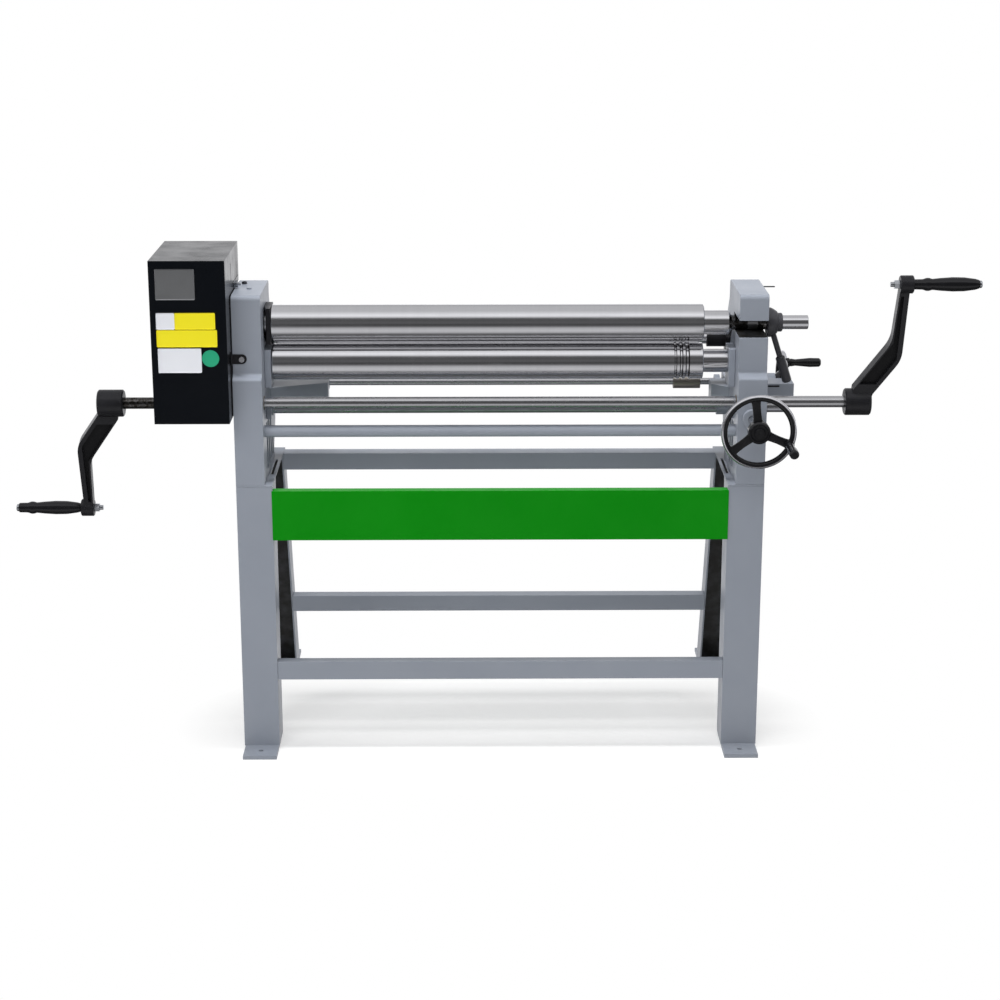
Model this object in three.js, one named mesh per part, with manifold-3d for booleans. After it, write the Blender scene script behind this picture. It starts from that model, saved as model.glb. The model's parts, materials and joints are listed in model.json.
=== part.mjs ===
import * as THREE from 'three';
import { mergeVertices } from 'three/addons/utils/BufferGeometryUtils.js';
import Module from 'manifold-3d';

// Slip roll machine: three rolls between two cast side frames on a folded steel stand.
// Millimetres, +Z up, +X towards the free end of the rolls, the operator stands at -Y.
// Places are given from the upper roll's axis (Y), the middle between the side frames (X) and the
// floor (Z).

// Middle of the machine's footprint, which becomes the origin
const footprintX = -38;
const footprintY = 121;

// Fits
const gap = 0.3;
const slideGap = 0.3;
const runningGap = 0.3;

// Rolls
const rollRadius = 45;
const rollSides = 40;
const rollLength = 1050;
const rollFixedRoom = 18;
const rollFreeRoom = 78;
const upperRollZ = 1066;
const nipGap = 5;
const rearRollY = 120;
const rearRollZ = 1003;
const pinchTravel = 4.5;
const edgeChamfer = 1.5;

// Upper roll journals
const upperNeckRadius = 29.5;
const upperNeckLength = 61;
const neckTaper = 8;
const slotJournalRadius = 18;
const stubRadius = 17.2;
const stubLength = 108;
const stubChamfer = 1;
const swingJournalRadius = 23.7;

// Lower roll journals and wire grooves
const lowerJournalRadius = 23;
const lowerNeckRadius = 28.5;
const journalInset = 12;
const journalTail = 6;
const grooveRadii = [3, 4, 5];
const grooveFromEnd = [48, 34, 19];

// Rear roll journals
const rearJournalRadius = 15;

// Side frames
const frameThickness = 70;
const frameHead = 85;
const frameBottom = 687.3;
const frameFront = -97;
const frameBack = 124;
const lobeBack = 205;
const lobeBottom = 780;
const lobeRadius = 20;
const heelBack = 150;
const heelTop = 715;
const stepTop = 960;
const stepBottom = 950;
const stepDepth = 20;
const stepRadius = 4;
const cornerRadius = 12;
const slotBottomGap = 0.3;
const slotHeight = 41;
const slotLip = 2;
const pocketDepth = 18;
const pocketWidth = 34;
const pocketBottom = 706;
const pocketHeight = 118;
const backPocketHeight = 68;
const pocketPlaces = [[-36, pocketHeight], [10, pocketHeight], [56, pocketHeight], [102, backPocketHeight]];
const tieSocketDepth = 20;

// Swing bearing of the upper roll
const swingLimit = 8;
const swingSpare = 1.5;
const neckRadius = 30;
const neckBoreGap = 7;
const neckEnd = 14;
const swingBlockHalf = 44;
const swingFaceEdge = 2;
const trunnionRadius = 6;
const pinClearance = 0.8;
const pinHead = 3;
const lowerPinLength = 24;
const gearBushProud = 4;
const gearBushClearance = 6;
const clawWidth = 10;
const clawLength = 14;
const clawHalfHeight = 14;
const clawGap = 3.2;

// Lower roll bearings
const lowerBlockHalf = 30;
const lowerBlockLow = 40;
const lowerBlockHigh = 36;
const lowerBlockInset = 8;
const lowerPlateThickness = 16;
const lowerPlateFront = 38;
const lowerPlateLow = 58;
const lowerPlateHigh = 36;

// Rear roll slides
const rearSlideAngle = 50;
const rearTravelUp = 30;
const rearTravelDown = 40;
const slotRunOut = 140;
const slideWall = 42;
const rearBlockHalf = 28;
const rearBlockHalfLength = 35;
const rearBlockProud = 10;
const rearBlockInset = 4;
const rearBlockCorner = 4;
const rearBossRadius = 22;
const rearBossReach = 56;
const screwRadius = 9;
const screwLength = 240;

// Rear shaft, the screw boxes that it drives and the arms that carry it
const rearShaftY = 282;
const rearShaftZ = 854.5;
const rearShaftRadius = 8.7;
const screwBoxHalf = 30;
const screwBoxBelow = 63;
const screwBoxAbove = 24;
const screwBoxBack = 26;
const screwBoxCorner = 12;
const bracketFrameFront = 79;
const bracketEndFront = 135;
const bracketBack = 176;
const bracketRise = 31.5;
const bracketHeight = 52;
const bracketWall = 6;
const leftBracketLength = 141;
const rightBracketLength = 41;
const outerBracketLength = 97;
const outerBracketFront = 114;
const lugRadius = 18;
const lugHalf = 13;
const leftLugInset = 6;
const leftLugWidth = 20;
const rightLugInset = 2;
const rightLugWidth = 14;
const outerLugInset = 51;
const outerLugWidth = 20;
const outerLugRadius = 21;
const shaftTail = 6;
const couplingRadius = 18;
const couplingReach = 123;
const couplingLength = 70;

// Drive train: the crank's pinion turns a wheel on the lower roll, and two equal gears drive the upper roll
const driveModule = 3;
const pinionTeeth = 13;
const wheelTeeth = 62;
const wheelLead = 0.75;
const rollGearModule = 5;
const rollGearTeeth = 18;
const gearWidth = 24;
const gearBacklash = 1;
const pressureAngle = 20;
const rollGearReach = 51;
const driveWheelReach = 83;
const driveShaftRadius = 17.7;
const crankBushWall = 3;
const crankBushProud = 1;

// Crank shaft and its two cranks
const crankY = -70;
const crankZ = 883.4;
const crankShaftRadius = 14;
const leftShaftReach = 332;
const rightShaftReach = 256;
const shaftRecess = 2;
const shaftChamfer = 1;
const hubLength = 63;
const hubRadius = 33;
const hubChamfer = 3;
const crankRadius = 315;
const crankOffset = 90;
const crankArmDepth = 26;
const bossRadius = 21.5;
const bossLength = 32;
const bossChamfer = 2;
const leftCrankAngle = 20.5;
const rightCrankAngle = 15.5;
const gripRadius = 17;
const gripBoltRadius = 6;
const studLength = 22;
const nutLength = 13;
const nutRadius = 11;
const boltHeadRadius = 9;
const boltHeadLength = 6;

// A crank arm seen from the front: its near edge faces the machine, its far edge the handle
const armStart = 18;
const armTopInset = 12;
const armNearRoot = -15;
const armNearWaist = -14;
const armNearWaistHeight = 40;
const armNearElbow = 67;
const armNearElbowHeight = 165;
const armNearTop = 74;
const armFarRoot = 32;
const armFarWaist = 34;
const armFarWaistHeight = 27;
const armFarElbow = 95;
const armFarElbowHeight = 120;
const armFarTop = 97;
const armElbowRadius = 22;
const armNearRim = 4;
const armFarRim = 12;
const armPocketStart = 54;
const armPocketDepth = 9;

// Handle grip of a crank, as distances from its boss and radii
const gripProfile = [[0, 12], [22, 12.5], [30, 15.5], [37, 15.5], [44, 13], [62, 15], [92, gripRadius],
  [120, 16.5], [146, 13], [156, 10]];

// Gear cover
const coverReach = 181;
const coverFront = -182;
const coverBack = 108;
const coverBottom = 858;
const coverTop = 1250;
const coverSheet = 2;
const coverGap = 2;
const coverHoleGap = 3;
const ventFront = -60;
const ventWidth = 5;
const ventAboveFrame = 28;
const ventHeight = 44;
const tabLength = 36;
const tabHalf = 12;
const tabZ = 998;
const tabSheet = 3;
const tabFold = 24;
const tabScrewRadius = 7;
const tabScrewHead = 6;

// Front handwheel and pinch shaft
const wheelY = -250;
const pinchShaftZ = 853;
const pinchShaftY = 0;
const pinchShaftRadius = 12.5;
const frontWheelRadius = 90;
const rimRadius = 8;
const wheelHubRadius = 27;
const wheelHubBack = 18;
const wheelHubFront = 16;
const wheelHubTaper = 4;
const spokeRoot = 15;
const spokeRootHalf = 12;
const spokeTipHalf = 11;
const spokeHalfThickness = 5;
const gripSeatRadius = 12;
const gripSeatBack = 6;
const gripSeatFront = 12;
const gripInset = 4;
const gripPinReach = 60;
const spindleRadius = 10;
const spindleInnerEnd = -34;
const spindleHoleEnd = -30;
const spindleTipRadius = 6;
const spindleTip = 2;
const flangeRadius = 24;
const flangeThickness = 14;
const frontGripAngle = 337;
const frontGripLength = 88;
const smallGripRadius = 10.5;
const gripPinRadius = 4;

// Grip of a handwheel, as shares of its length and of its largest radius
const smallGripProfile = [[0, 0.76], [0.05, 0.86], [0.18, 0.71], [0.65, 1], [0.95, 0.95], [1, 0.62]];
const pinchShaftReach = 57;
const pinchPlateThickness = 12;
const pinchPlateHalfWidth = 24;
const pinchPlateHalfHeight = 22;
const pinchBossRadius = 17.5;
const leftPinchBossReach = 16;
const rightPinchBossReach = 40;
const collarRadius = 20;
const collarLength = 14;

// Rear handwheel
const rearWheelReach = 90;
const rearWheelRadius = 80;
const rearGripAngle = 123;
const rearGripLength = 80;

// Release lever
const leverFlangeRadius = 36;
const leverFlangeChamfer = 2;
const leverFlangeRim = 10;
const leverShoulder = 18;
const leverShoulderDrop = 4;
const leverHubRadius = 23;
const leverClearance = 7;
const leverFlangeLength = 27;
const leverHubLength = 11;
const leverReach = 148;
const leverTilt = 18;
const leverRodRadius = 7;
const leverRodOffset = 8;
const leverRodRoot = 20;
const leverGripRadius = 10.5;
const leverGripLength = 66;
const leverGripChamfer = 3;
const leverGripCap = 6;

// Stand
const legStep = 18;
const legWidth = 88;
const legFront = -117;
const legDepth = 92;
const sheet = 4;
const legTop = 683;
const footThickness = 10;
const footLength = 70;
const footWidth = 84;
const footHoleRadius = 6.5;
const rearLegTopY = 190.5;
const rearLegBottomY = 441;
const rearLegDepth = 82;
const rearLegTopDepth = 66;
const plateSlotFront = -8;
const plateSlotBack = 138;
const plateSlotInset = 4;
const plateSlotWidth = 7;
const frontRailDepth = 28;
const frontRailBottom = 185;
const frontRailHeight = 47;
const rearRailBottom = 206;
const rearRailHeight = 43;
const rearRailDepth = 36;
const topRailHeight = 43;
const topRailDepth = 46;
const panelLap = 2;
const panelBottom = 549;
const panelHeight = 125;
const panelReturn = 24;
const panelSheet = 2;
const railWall = 3;
const tieBarY = -70;
const tieBarZ = 812.5;
const tieBarRadius = 14.5;
const tieBarReach = 18;

// Values worked out from the sizes above
const lowerRollZ = upperRollZ - 2 * rollRadius - nipGap;
const frameTop = upperRollZ + frameHead;
const bracketTop = rearShaftZ + bracketRise;
const frameInner = (rollLength + rollFixedRoom + rollFreeRoom) / 2;
const rollLeft = -frameInner + rollFixedRoom;
const rollRight = rollLeft + rollLength;
const frameOuter = frameInner + frameThickness;
const frameMiddle = frameInner + frameThickness / 2;
const legInner = frameInner - legStep;
const leftHubEnd = -frameOuter - leftShaftReach;
const rightHubEnd = frameOuter + rightShaftReach;
const rollGearLeft = -frameOuter - rollGearReach;
const wheelLeft = -frameOuter - driveWheelReach;
const coverLeft = -frameOuter - coverReach;
const wheelX = frameMiddle;
const rearWheelX = frameOuter + rearWheelReach;
const gripLength = gripProfile.at(-1)[0];
const slotBottom = upperRollZ - slotJournalRadius - slotBottomGap;
const rad = THREE.MathUtils.degToRad;
const crankBore = crankShaftRadius + runningGap + crankBushWall + gap;
const slideY = -Math.cos(rad(rearSlideAngle));
const slideZ = Math.sin(rad(rearSlideAngle));
const neckBore = neckRadius + neckBoreGap;

// Colours and finishes
const finish = (color, roughness, metalness) =>
  new THREE.MeshStandardMaterial({ color, roughness, metalness });
const greyPaint = finish(0x878c98, 0.5, 0.05);
const blackPaint = finish(0x181b20, 0.45, 0.05);
const greenPaint = finish(0x008300, 0.4, 0.05);
const groundSteel = finish(0xb4b4b8, 0.25, 1);
const darkSteel = finish(0x55565a, 0.45, 0.9);
const blackCast = finish(0x232426, 0.45, 0.3);
const blackPlastic = finish(0x151517, 0.35, 0);
const zinc = finish(0xc8ccd2, 0.3, 0.9);
const bronze = finish(0x9a7440, 0.4, 0.9);

const wasm = await Module();
wasm.setup();

// A closed geometry as a solid that can be joined and cut, with its faces pointing out
function solid(geometry) {
  const bare = geometry.clone();
  for (const name of Object.keys(bare.attributes)) if (name !== 'position') bare.deleteAttribute(name);
  const merged = mergeVertices(bare, 1e-4);
  const index = merged.index.array;
  const make = (order) => {
    const faces = [];
    for (let i = 0; i < index.length; i += 3) {
      const face = order.map((k) => index[i + k]);
      if (new Set(face).size === 3) faces.push(...face);
    }
    return new wasm.Manifold(new wasm.Mesh({
      numProp: 3,
      vertProperties: new Float32Array(merged.attributes.position.array),
      triVerts: new Uint32Array(faces),
    }));
  };
  const body = make([0, 1, 2]);
  return body.volume() > 0 ? body : make([0, 2, 1]);
}

function geometryOf(body) {
  const mesh = body.getMesh();
  const geometry = new THREE.BufferGeometry();
  geometry.setAttribute('position', new THREE.BufferAttribute(new Float32Array(mesh.vertProperties), 3));
  geometry.setIndex(new THREE.BufferAttribute(new Uint32Array(mesh.triVerts), 1));
  return geometry;
}

const join = (bodies) => bodies.reduce((whole, body) => whole.add(body));
const cut = (body, tools) => tools.reduce((left, tool) => left.subtract(tool), body);

function block(x0, x1, y0, y1, z0, z1) {
  const geometry = new THREE.BoxGeometry(x1 - x0, y1 - y0, z1 - z0);
  geometry.translate((x0 + x1) / 2, (y0 + y1) / 2, (z0 + z1) / 2);
  return solid(geometry);
}

// A turned piece along X: profile is [x, radius] pairs from one end to the other
function turned(profile, y, z, sides = 32) {
  const points = [[profile[0][0], 0], ...profile, [profile[profile.length - 1][0], 0]];
  const geometry = new THREE.LatheGeometry(points.map(([x, r]) => new THREE.Vector2(r, x)), sides);
  geometry.rotateZ(-Math.PI / 2);
  geometry.translate(0, y, z);
  return solid(geometry);
}

const bar = (x0, x1, y, z, radius, sides = 24) => turned([[x0, radius], [x1, radius]], y, z, sides);

const chamferedBar = (x0, x1, y, z, radius, chamfer, sides) => turned([
  [x0, radius - chamfer], [x0 + chamfer, radius], [x1 - chamfer, radius], [x1, radius - chamfer],
], y, z, sides);

function place(body, turn, move) {
  const matrix = new THREE.Matrix4().makeRotationFromEuler(new THREE.Euler(...turn));
  matrix.setPosition(...move);
  return body.transform(matrix.toArray());
}

// A bar along Y or Z, made as a bar along X and turned
const barY = (x, y0, y1, z, radius, sides = 24) =>
  place(bar(y0, y1, 0, 0, radius, sides), [0, 0, Math.PI / 2], [x, 0, z]);
const barZ = (x, y, z0, z1, radius, sides = 24) =>
  place(bar(z0, z1, 0, 0, radius, sides), [0, -Math.PI / 2, 0], [x, y, 0]);

// A closed outline in the YZ plane, carried along X
function plate(shape, x0, x1, curveSegments = 6) {
  const geometry = new THREE.ExtrudeGeometry(shape, { depth: x1 - x0, bevelEnabled: false, curveSegments });
  geometry.applyMatrix4(new THREE.Matrix4().makeBasis(
    new THREE.Vector3(0, 1, 0), new THREE.Vector3(0, 0, 1), new THREE.Vector3(1, 0, 0)));
  geometry.translate(x0, 0, 0);
  return solid(geometry);
}

// A closed outline in the XY plane, carried up from z0 to z1
function wedge(points, z0, z1) {
  const shape = new THREE.Shape(points.map(([x, y]) => new THREE.Vector2(x, y)));
  const geometry = new THREE.ExtrudeGeometry(shape, { depth: z1 - z0, bevelEnabled: false });
  geometry.translate(0, 0, z0);
  return solid(geometry);
}

// An outline through points whose corners are rounded where a radius is given as the third value
function outline(points) {
  const shape = new THREE.Shape();
  points.forEach(([x, y, radius = 0], i) => {
    const here = new THREE.Vector2(x, y);
    const before = new THREE.Vector2(...points.at(i - 1).slice(0, 2)).sub(here).normalize();
    const after = new THREE.Vector2(...points[(i + 1) % points.length].slice(0, 2)).sub(here).normalize();
    const start = here.clone().addScaledVector(before, radius);
    const end = here.clone().addScaledVector(after, radius);
    if (i === 0) shape.moveTo(start.x, start.y);
    else shape.lineTo(start.x, start.y);
    if (radius > 0) shape.quadraticCurveTo(x, y, end.x, end.y);
  });
  shape.closePath();
  return shape;
}

const mirrored = (body) => body.mirror([1, 0, 0]);

// Involute spur gear along X, with one tooth pointing along +Y at no turn
function spurGear(gearModule, teeth, x0, turn, y, z, bore) {
  const pitch = (gearModule * teeth) / 2;
  const base = pitch * Math.cos(rad(pressureAngle));
  const tip = pitch + gearModule;
  const root = pitch - 1.25 * gearModule;
  const involute = (r) => (r <= base ? 0 : Math.tan(Math.acos(base / r)) - Math.acos(base / r));
  const halfAtPitch = Math.PI / (2 * teeth) - gearBacklash / (2 * pitch);
  const foot = Math.max(base, root + 0.1);
  const flankRadii = [root, Math.max(foot, (root + tip) / 2), tip];
  const halfAngle = (r) => halfAtPitch + involute(pitch) - involute(r);
  const shape = new THREE.Shape();
  for (let tooth = 0; tooth < teeth; tooth++) {
    const middle = rad(turn) + (tooth * 2 * Math.PI) / teeth;
    const rising = flankRadii.map((r) => [r, middle - halfAngle(r)]);
    const falling = flankRadii.map((r) => [r, middle + halfAngle(r)]).reverse();
    for (const [r, angle] of [...rising, ...falling]) {
      const point = [r * Math.cos(angle), r * Math.sin(angle)];
      if (tooth === 0 && r === root && angle < middle) shape.moveTo(...point);
      else shape.lineTo(...point);
    }
  }
  shape.closePath();
  return plate(shape, x0, x0 + gearWidth).translate([0, y, z])
    .subtract(bar(x0 - 1, x0 + gearWidth + 1, y, z, bore + gap));
}

// Rolls

function upperRoll() {
  const neckRight = rollRight + upperNeckLength;
  const pivotX = -frameMiddle;
  const journalEnd = pivotX + clawLength / 2;
  const body = turned([
    [journalEnd, swingJournalRadius],
    [rollLeft, swingJournalRadius],
    [rollLeft, rollRadius - edgeChamfer],
    [rollLeft + edgeChamfer, rollRadius],
    [rollRight - edgeChamfer, rollRadius],
    [rollRight, rollRadius - edgeChamfer],
    [rollRight, upperNeckRadius],
    [neckRight, upperNeckRadius],
    [neckRight + neckTaper, slotJournalRadius],
    [frameOuter + leverClearance - gap, slotJournalRadius],
    [frameOuter + leverClearance - gap, stubRadius],
    [frameOuter + stubLength - stubChamfer, stubRadius],
    [frameOuter + stubLength, stubRadius - stubChamfer],
  ], 0, upperRollZ, rollSides);
  const claw = block(pivotX - clawLength / 2, journalEnd + 1, -clawWidth / 2, clawWidth / 2,
    upperRollZ - clawHalfHeight, upperRollZ + clawHalfHeight);
  return body.add(claw);
}

function lowerRoll() {
  const profile = [
    [wheelLeft - journalTail, driveShaftRadius],
    [-frameOuter - journalTail, driveShaftRadius],
    [-frameOuter - journalTail, lowerJournalRadius],
    [rollLeft, lowerJournalRadius],
    [rollLeft, rollRadius - edgeChamfer],
    [rollLeft + edgeChamfer, rollRadius],
  ];
  grooveFromEnd.forEach((fromEnd, i) => {
    const middle = rollRight - fromEnd;
    const radius = grooveRadii[i];
    for (let step = 0; step <= 3; step++) {
      const angle = (step * Math.PI) / 3;
      profile.push([middle - radius * Math.cos(angle), rollRadius - radius * Math.sin(angle)]);
    }
  });
  const neckRight = frameInner - lowerPlateThickness - 2 * gap;
  profile.push([rollRight - edgeChamfer, rollRadius], [rollRight, rollRadius - edgeChamfer],
    [rollRight, lowerNeckRadius], [neckRight, lowerNeckRadius],
    [neckRight, lowerJournalRadius], [frameOuter - journalInset, lowerJournalRadius]);
  return turned(profile, 0, lowerRollZ, rollSides);
}

function rearRoll() {
  return turned([
    [-frameOuter + journalInset, rearJournalRadius],
    [rollLeft, rearJournalRadius],
    [rollLeft, rollRadius - edgeChamfer],
    [rollLeft + edgeChamfer, rollRadius],
    [rollRight - edgeChamfer, rollRadius],
    [rollRight, rollRadius - edgeChamfer],
    [rollRight, rearJournalRadius],
    [frameOuter - journalInset, rearJournalRadius],
  ], rearRollY, rearRollZ, rollSides);
}

// Side frames

const alongSlide = (s, across) => [
  rearRollY + slideY * s + slideZ * across,
  rearRollZ + slideZ * s - slideY * across,
];

function frameOutline() {
  const wall = rearBlockHalf + slideWall;
  const [shoulderY, shoulderZ] = alongSlide(0, wall);
  const slope = slideZ / slideY;
  return outline([
    [frameFront, frameTop, cornerRadius],
    [frameBack, frameTop, cornerRadius],
    [frameBack, shoulderZ + (frameBack - shoulderY) * slope, cornerRadius],
    [lobeBack, shoulderZ + (lobeBack - shoulderY) * slope, cornerRadius],
    [lobeBack, lobeBottom, lobeRadius],
    [heelBack, heelTop, lobeRadius],
    [heelBack, frameBottom],
    [frameFront - stepDepth, frameBottom],
    [frameFront - stepDepth, stepBottom, stepRadius],
    [frameFront, stepTop, stepRadius],
  ]);
}

function slideSlot() {
  const half = rearBlockHalf + slideGap;
  const top = rearTravelUp + rearBlockHalfLength + slideGap;
  const bottom = -rearTravelDown - slotRunOut;
  return outline([
    alongSlide(top, half), alongSlide(top, -half), alongSlide(bottom, -half), alongSlide(bottom, half),
  ]);
}

function bearingWindow() {
  const half = lowerBlockHalf + slideGap;
  return outline([
    [-half, lowerRollZ - lowerBlockLow - slideGap],
    [half, lowerRollZ - lowerBlockLow - slideGap],
    [half, lowerRollZ + lowerBlockHigh + pinchTravel + slideGap],
    [-half, lowerRollZ + lowerBlockHigh + pinchTravel + slideGap],
  ]);
}

// What both castings share, drawn for the right-hand side
function sideCasting() {
  const through = [frameInner - 1, frameOuter + 1];
  const pocket = ([y, height]) => join([
    block(frameInner - 1, frameInner + pocketDepth, y, y + pocketWidth,
      pocketBottom, pocketBottom + height),
    block(frameOuter - pocketDepth, frameOuter + 1, y, y + pocketWidth,
      pocketBottom, pocketBottom + height),
  ]);
  return cut(plate(frameOutline(), frameInner, frameOuter), [
    plate(slideSlot(), ...through),
    plate(bearingWindow(), ...through),
    bar(...through, crankY, crankZ, crankBore),
    bar(...through, pinchShaftY, pinchShaftZ, pinchShaftRadius + runningGap),
    ...pocketPlaces.map(pocket),
  ]);
}

function leftSideFrame() {
  const bore = bar(-frameOuter - 1, -frameInner + 1, 0, upperRollZ, neckBore, 32);
  const pinHole = barZ(-frameMiddle, 0, upperRollZ, frameTop + 1, trunnionRadius + gap, 20);
  const pinHoleBelow = barZ(-frameMiddle, 0, lowerRollZ, upperRollZ, trunnionRadius + gap, 20);
  const tieHole = bar(-frameInner - tieSocketDepth, -frameInner + 1, tieBarY, tieBarZ, tieBarRadius + gap);
  return cut(mirrored(sideCasting()), [bore, pinHole, pinHoleBelow, tieHole]);
}

function rightSideFrame() {
  const slot = block(frameInner - 1, frameOuter + 1, frameFront - 1, slotJournalRadius + runningGap,
    slotBottom, slotBottom + slotHeight);
  const lip = plate(outline([
    [frameFront - 1, slotBottom - slotLip], [frameFront + slotLip, slotBottom + 0.01],
    [frameFront - 1, slotBottom + 0.01],
  ]), frameInner - 1, frameOuter + 1);
  const spindle = barY(wheelX, frameFront - stepDepth - 1, spindleHoleEnd, pinchShaftZ,
    spindleRadius + runningGap);
  const tieHole = bar(frameInner - 1, frameInner + tieSocketDepth, tieBarY, tieBarZ, tieBarRadius + gap);
  return cut(sideCasting(), [slot, lip, spindle, tieHole]);
}

// Bearings

function swingBearing() {
  const left = -frameInner + gap;
  const right = rollLeft - gap;
  const relief = (swingBlockHalf + swingFaceEdge) * Math.tan(rad(swingLimit + swingSpare));
  const face = wedge([
    [left, swingBlockHalf], [left, swingFaceEdge], [left + relief, -swingBlockHalf],
    [right, -swingBlockHalf], [right, swingBlockHalf],
  ], upperRollZ - swingBlockHalf, upperRollZ + swingBlockHalf);
  const neck = bar(-frameMiddle - neckEnd, left + 1, 0, upperRollZ, neckRadius);
  const bore = bar(-frameMiddle - neckEnd - 1, right + 1, 0, upperRollZ, swingJournalRadius + runningGap);
  const pins = barZ(-frameMiddle, 0, upperRollZ - neckRadius - 1, upperRollZ + neckRadius + 1,
    trunnionRadius + gap, 20);
  return cut(face.add(neck), [bore, pins]);
}

function trunnionPin(upper) {
  const tip = swingJournalRadius + runningGap + pinClearance;
  return upper
    ? barZ(-frameMiddle, 0, upperRollZ + tip, frameTop + pinHead, trunnionRadius, 20)
    : barZ(-frameMiddle, 0, upperRollZ - tip - lowerPinLength, upperRollZ - tip, trunnionRadius, 20);
}

function upperGearBush() {
  const left = -frameOuter - gearBushProud;
  return cut(bar(left, -frameMiddle - neckEnd - gearBushClearance, 0, upperRollZ, neckBore - gap, 32), [
    bar(left - 1, -frameMiddle, 0, upperRollZ, driveShaftRadius + runningGap, 32),
  ]);
}

// The lower roll's bearing: a block in the window and a plate on the frame's inner face
function lowerBearing(side) {
  const body = join([
    block(frameInner - 1, frameOuter - lowerBlockInset, -lowerBlockHalf, lowerBlockHalf,
      lowerRollZ - lowerBlockLow, lowerRollZ + lowerBlockHigh),
    block(frameInner - gap - lowerPlateThickness, frameInner - gap, -lowerPlateFront, lowerPlateFront,
      lowerRollZ - lowerPlateLow, lowerRollZ + lowerPlateHigh),
  ]);
  const bored = body.subtract(bar(frameInner - 2 * lowerPlateThickness, frameOuter + 1, 0, lowerRollZ,
    lowerJournalRadius + runningGap, 32));
  return side < 0 ? mirrored(bored) : bored;
}

// The rear roll's bearing slides in the slanting slot, pushed by a screw fixed in its lower end
function rearBearing(side) {
  const x0 = frameInner - rearBlockProud;
  const corner = ([s, across]) => [
    ...alongSlide(s * rearBlockHalfLength, across * rearBlockHalf), rearBlockCorner,
  ];
  const shape = outline([[1, 1], [1, -1], [-1, -1], [-1, 1]].map(corner));
  const reach = side < 0 ? x0 : frameInner - rearBossReach;
  const boss = bar(reach, frameInner, rearRollY, rearRollZ, rearBossRadius, 32);
  const bored = plate(shape, x0, frameOuter - rearBlockInset, 2).add(boss).subtract(
    bar(reach - 1, frameOuter, rearRollY, rearRollZ, rearJournalRadius + runningGap, 32));
  return side < 0 ? mirrored(bored) : bored;
}

// A bar along the slanting slide through the rear roll's axis, from s0 to s1
function slideBar(x, s0, s1, radius, sides = 20) {
  const along = new THREE.Vector3(0, slideY, slideZ);
  const across = new THREE.Vector3(1, 0, 0);
  const basis = new THREE.Matrix4().makeBasis(along, across, along.clone().cross(across));
  return bar(s0, s1, 0, 0, radius, sides).transform(basis.setPosition(x, rearRollY, rearRollZ).toArray());
}

const rearScrew = (side) => {
  const top = -rearBlockHalfLength - gap;
  return slideBar(side * frameMiddle, top - screwLength, top, screwRadius);
};

function screwBox(side) {
  const low = rearShaftZ - screwBoxBelow;
  const high = rearShaftZ + screwBoxAbove;
  const front = lobeBack + gap;
  const back = rearShaftY + screwBoxBack;
  const shape = outline([
    [front, low], [back, low, screwBoxCorner], [back, high, screwBoxCorner], [front, high],
  ]);
  const middle = side * frameMiddle;
  return cut(plate(shape, middle - screwBoxHalf, middle + screwBoxHalf, 3), [
    bar(middle - screwBoxHalf - 1, middle + screwBoxHalf + 1, rearShaftY, rearShaftZ,
      rearShaftRadius + runningGap, 24),
    slideBar(middle, -2 * screwLength, 0, screwRadius + runningGap),
  ]);
}

// A hollow arm on a side frame that narrows towards its end, with a lug behind it for the rear shaft.
// It reaches from x0 at the frame to x1, and its front runs from frontAtFrame to frontAtEnd.
function shaftBracket(x0, x1, frontAtFrame, frontAtEnd, lug0, lug1, radius) {
  const bottom = bracketTop - bracketHeight;
  const along = Math.sign(x1 - x0);
  const inset = bracketWall * along;
  const shell = wedge([[x0, bracketBack], [x0, frontAtFrame], [x1, frontAtEnd], [x1, bracketBack]],
    bottom, bracketTop);
  const hollow = wedge([
    [x0 + inset, bracketBack - bracketWall], [x0 + inset, frontAtFrame + bracketWall],
    [x1 - inset, frontAtEnd + bracketWall], [x1 - inset, bracketBack - bracketWall],
  ], bottom - 1, bracketTop - bracketWall);
  const lug = join([
    block(lug0, lug1, bracketBack - 1, rearShaftY, rearShaftZ - lugHalf, rearShaftZ + lugHalf),
    bar(lug0, lug1, rearShaftY, rearShaftZ, radius),
  ]).subtract(bar(lug0 - 1, lug1 + 1, rearShaftY, rearShaftZ, rearShaftRadius + runningGap, 24));
  return shell.subtract(hollow).add(lug);
}

function leftShaftBracket() {
  const end = -frameInner + leftBracketLength;
  const lug = end - leftLugInset;
  return shaftBracket(-frameInner + gap, end, bracketFrameFront, bracketEndFront,
    lug - leftLugWidth, lug, lugRadius);
}

function rightShaftBracket() {
  const end = frameInner - rightBracketLength;
  const lug = frameInner - gap - rightLugInset;
  return shaftBracket(frameInner - gap, end, bracketFrameFront, outerBracketFront,
    lug - rightLugWidth, lug, lugRadius);
}

function outerShaftBracket() {
  const lug = frameOuter + outerLugInset;
  return shaftBracket(frameOuter + gap, frameOuter + outerBracketLength, outerBracketFront,
    outerBracketFront, lug, lug + outerLugWidth, outerLugRadius);
}

// Drive train

function upperGear() {
  const pivotX = -frameMiddle;
  const end = pivotX + clawLength / 2 - clawGap - pinClearance;
  const shaft = bar(rollGearLeft, end, 0, upperRollZ, driveShaftRadius, 32);
  const slot = block(pivotX - clawLength / 2 - clawGap, end + 1, -clawWidth / 2 - clawGap,
    clawWidth / 2 + clawGap, upperRollZ - driveShaftRadius - 1, upperRollZ + driveShaftRadius + 1);
  const gear = spurGear(rollGearModule, rollGearTeeth, rollGearLeft, -90 + 180 / rollGearTeeth,
    0, upperRollZ, 0);
  return gear.add(shaft).subtract(slot);
}

const meshLine = Math.atan2(crankZ - lowerRollZ, crankY) / rad(1);
const lowerGear = () => spurGear(rollGearModule, rollGearTeeth, rollGearLeft, 90, 0, lowerRollZ,
  driveShaftRadius);
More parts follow.
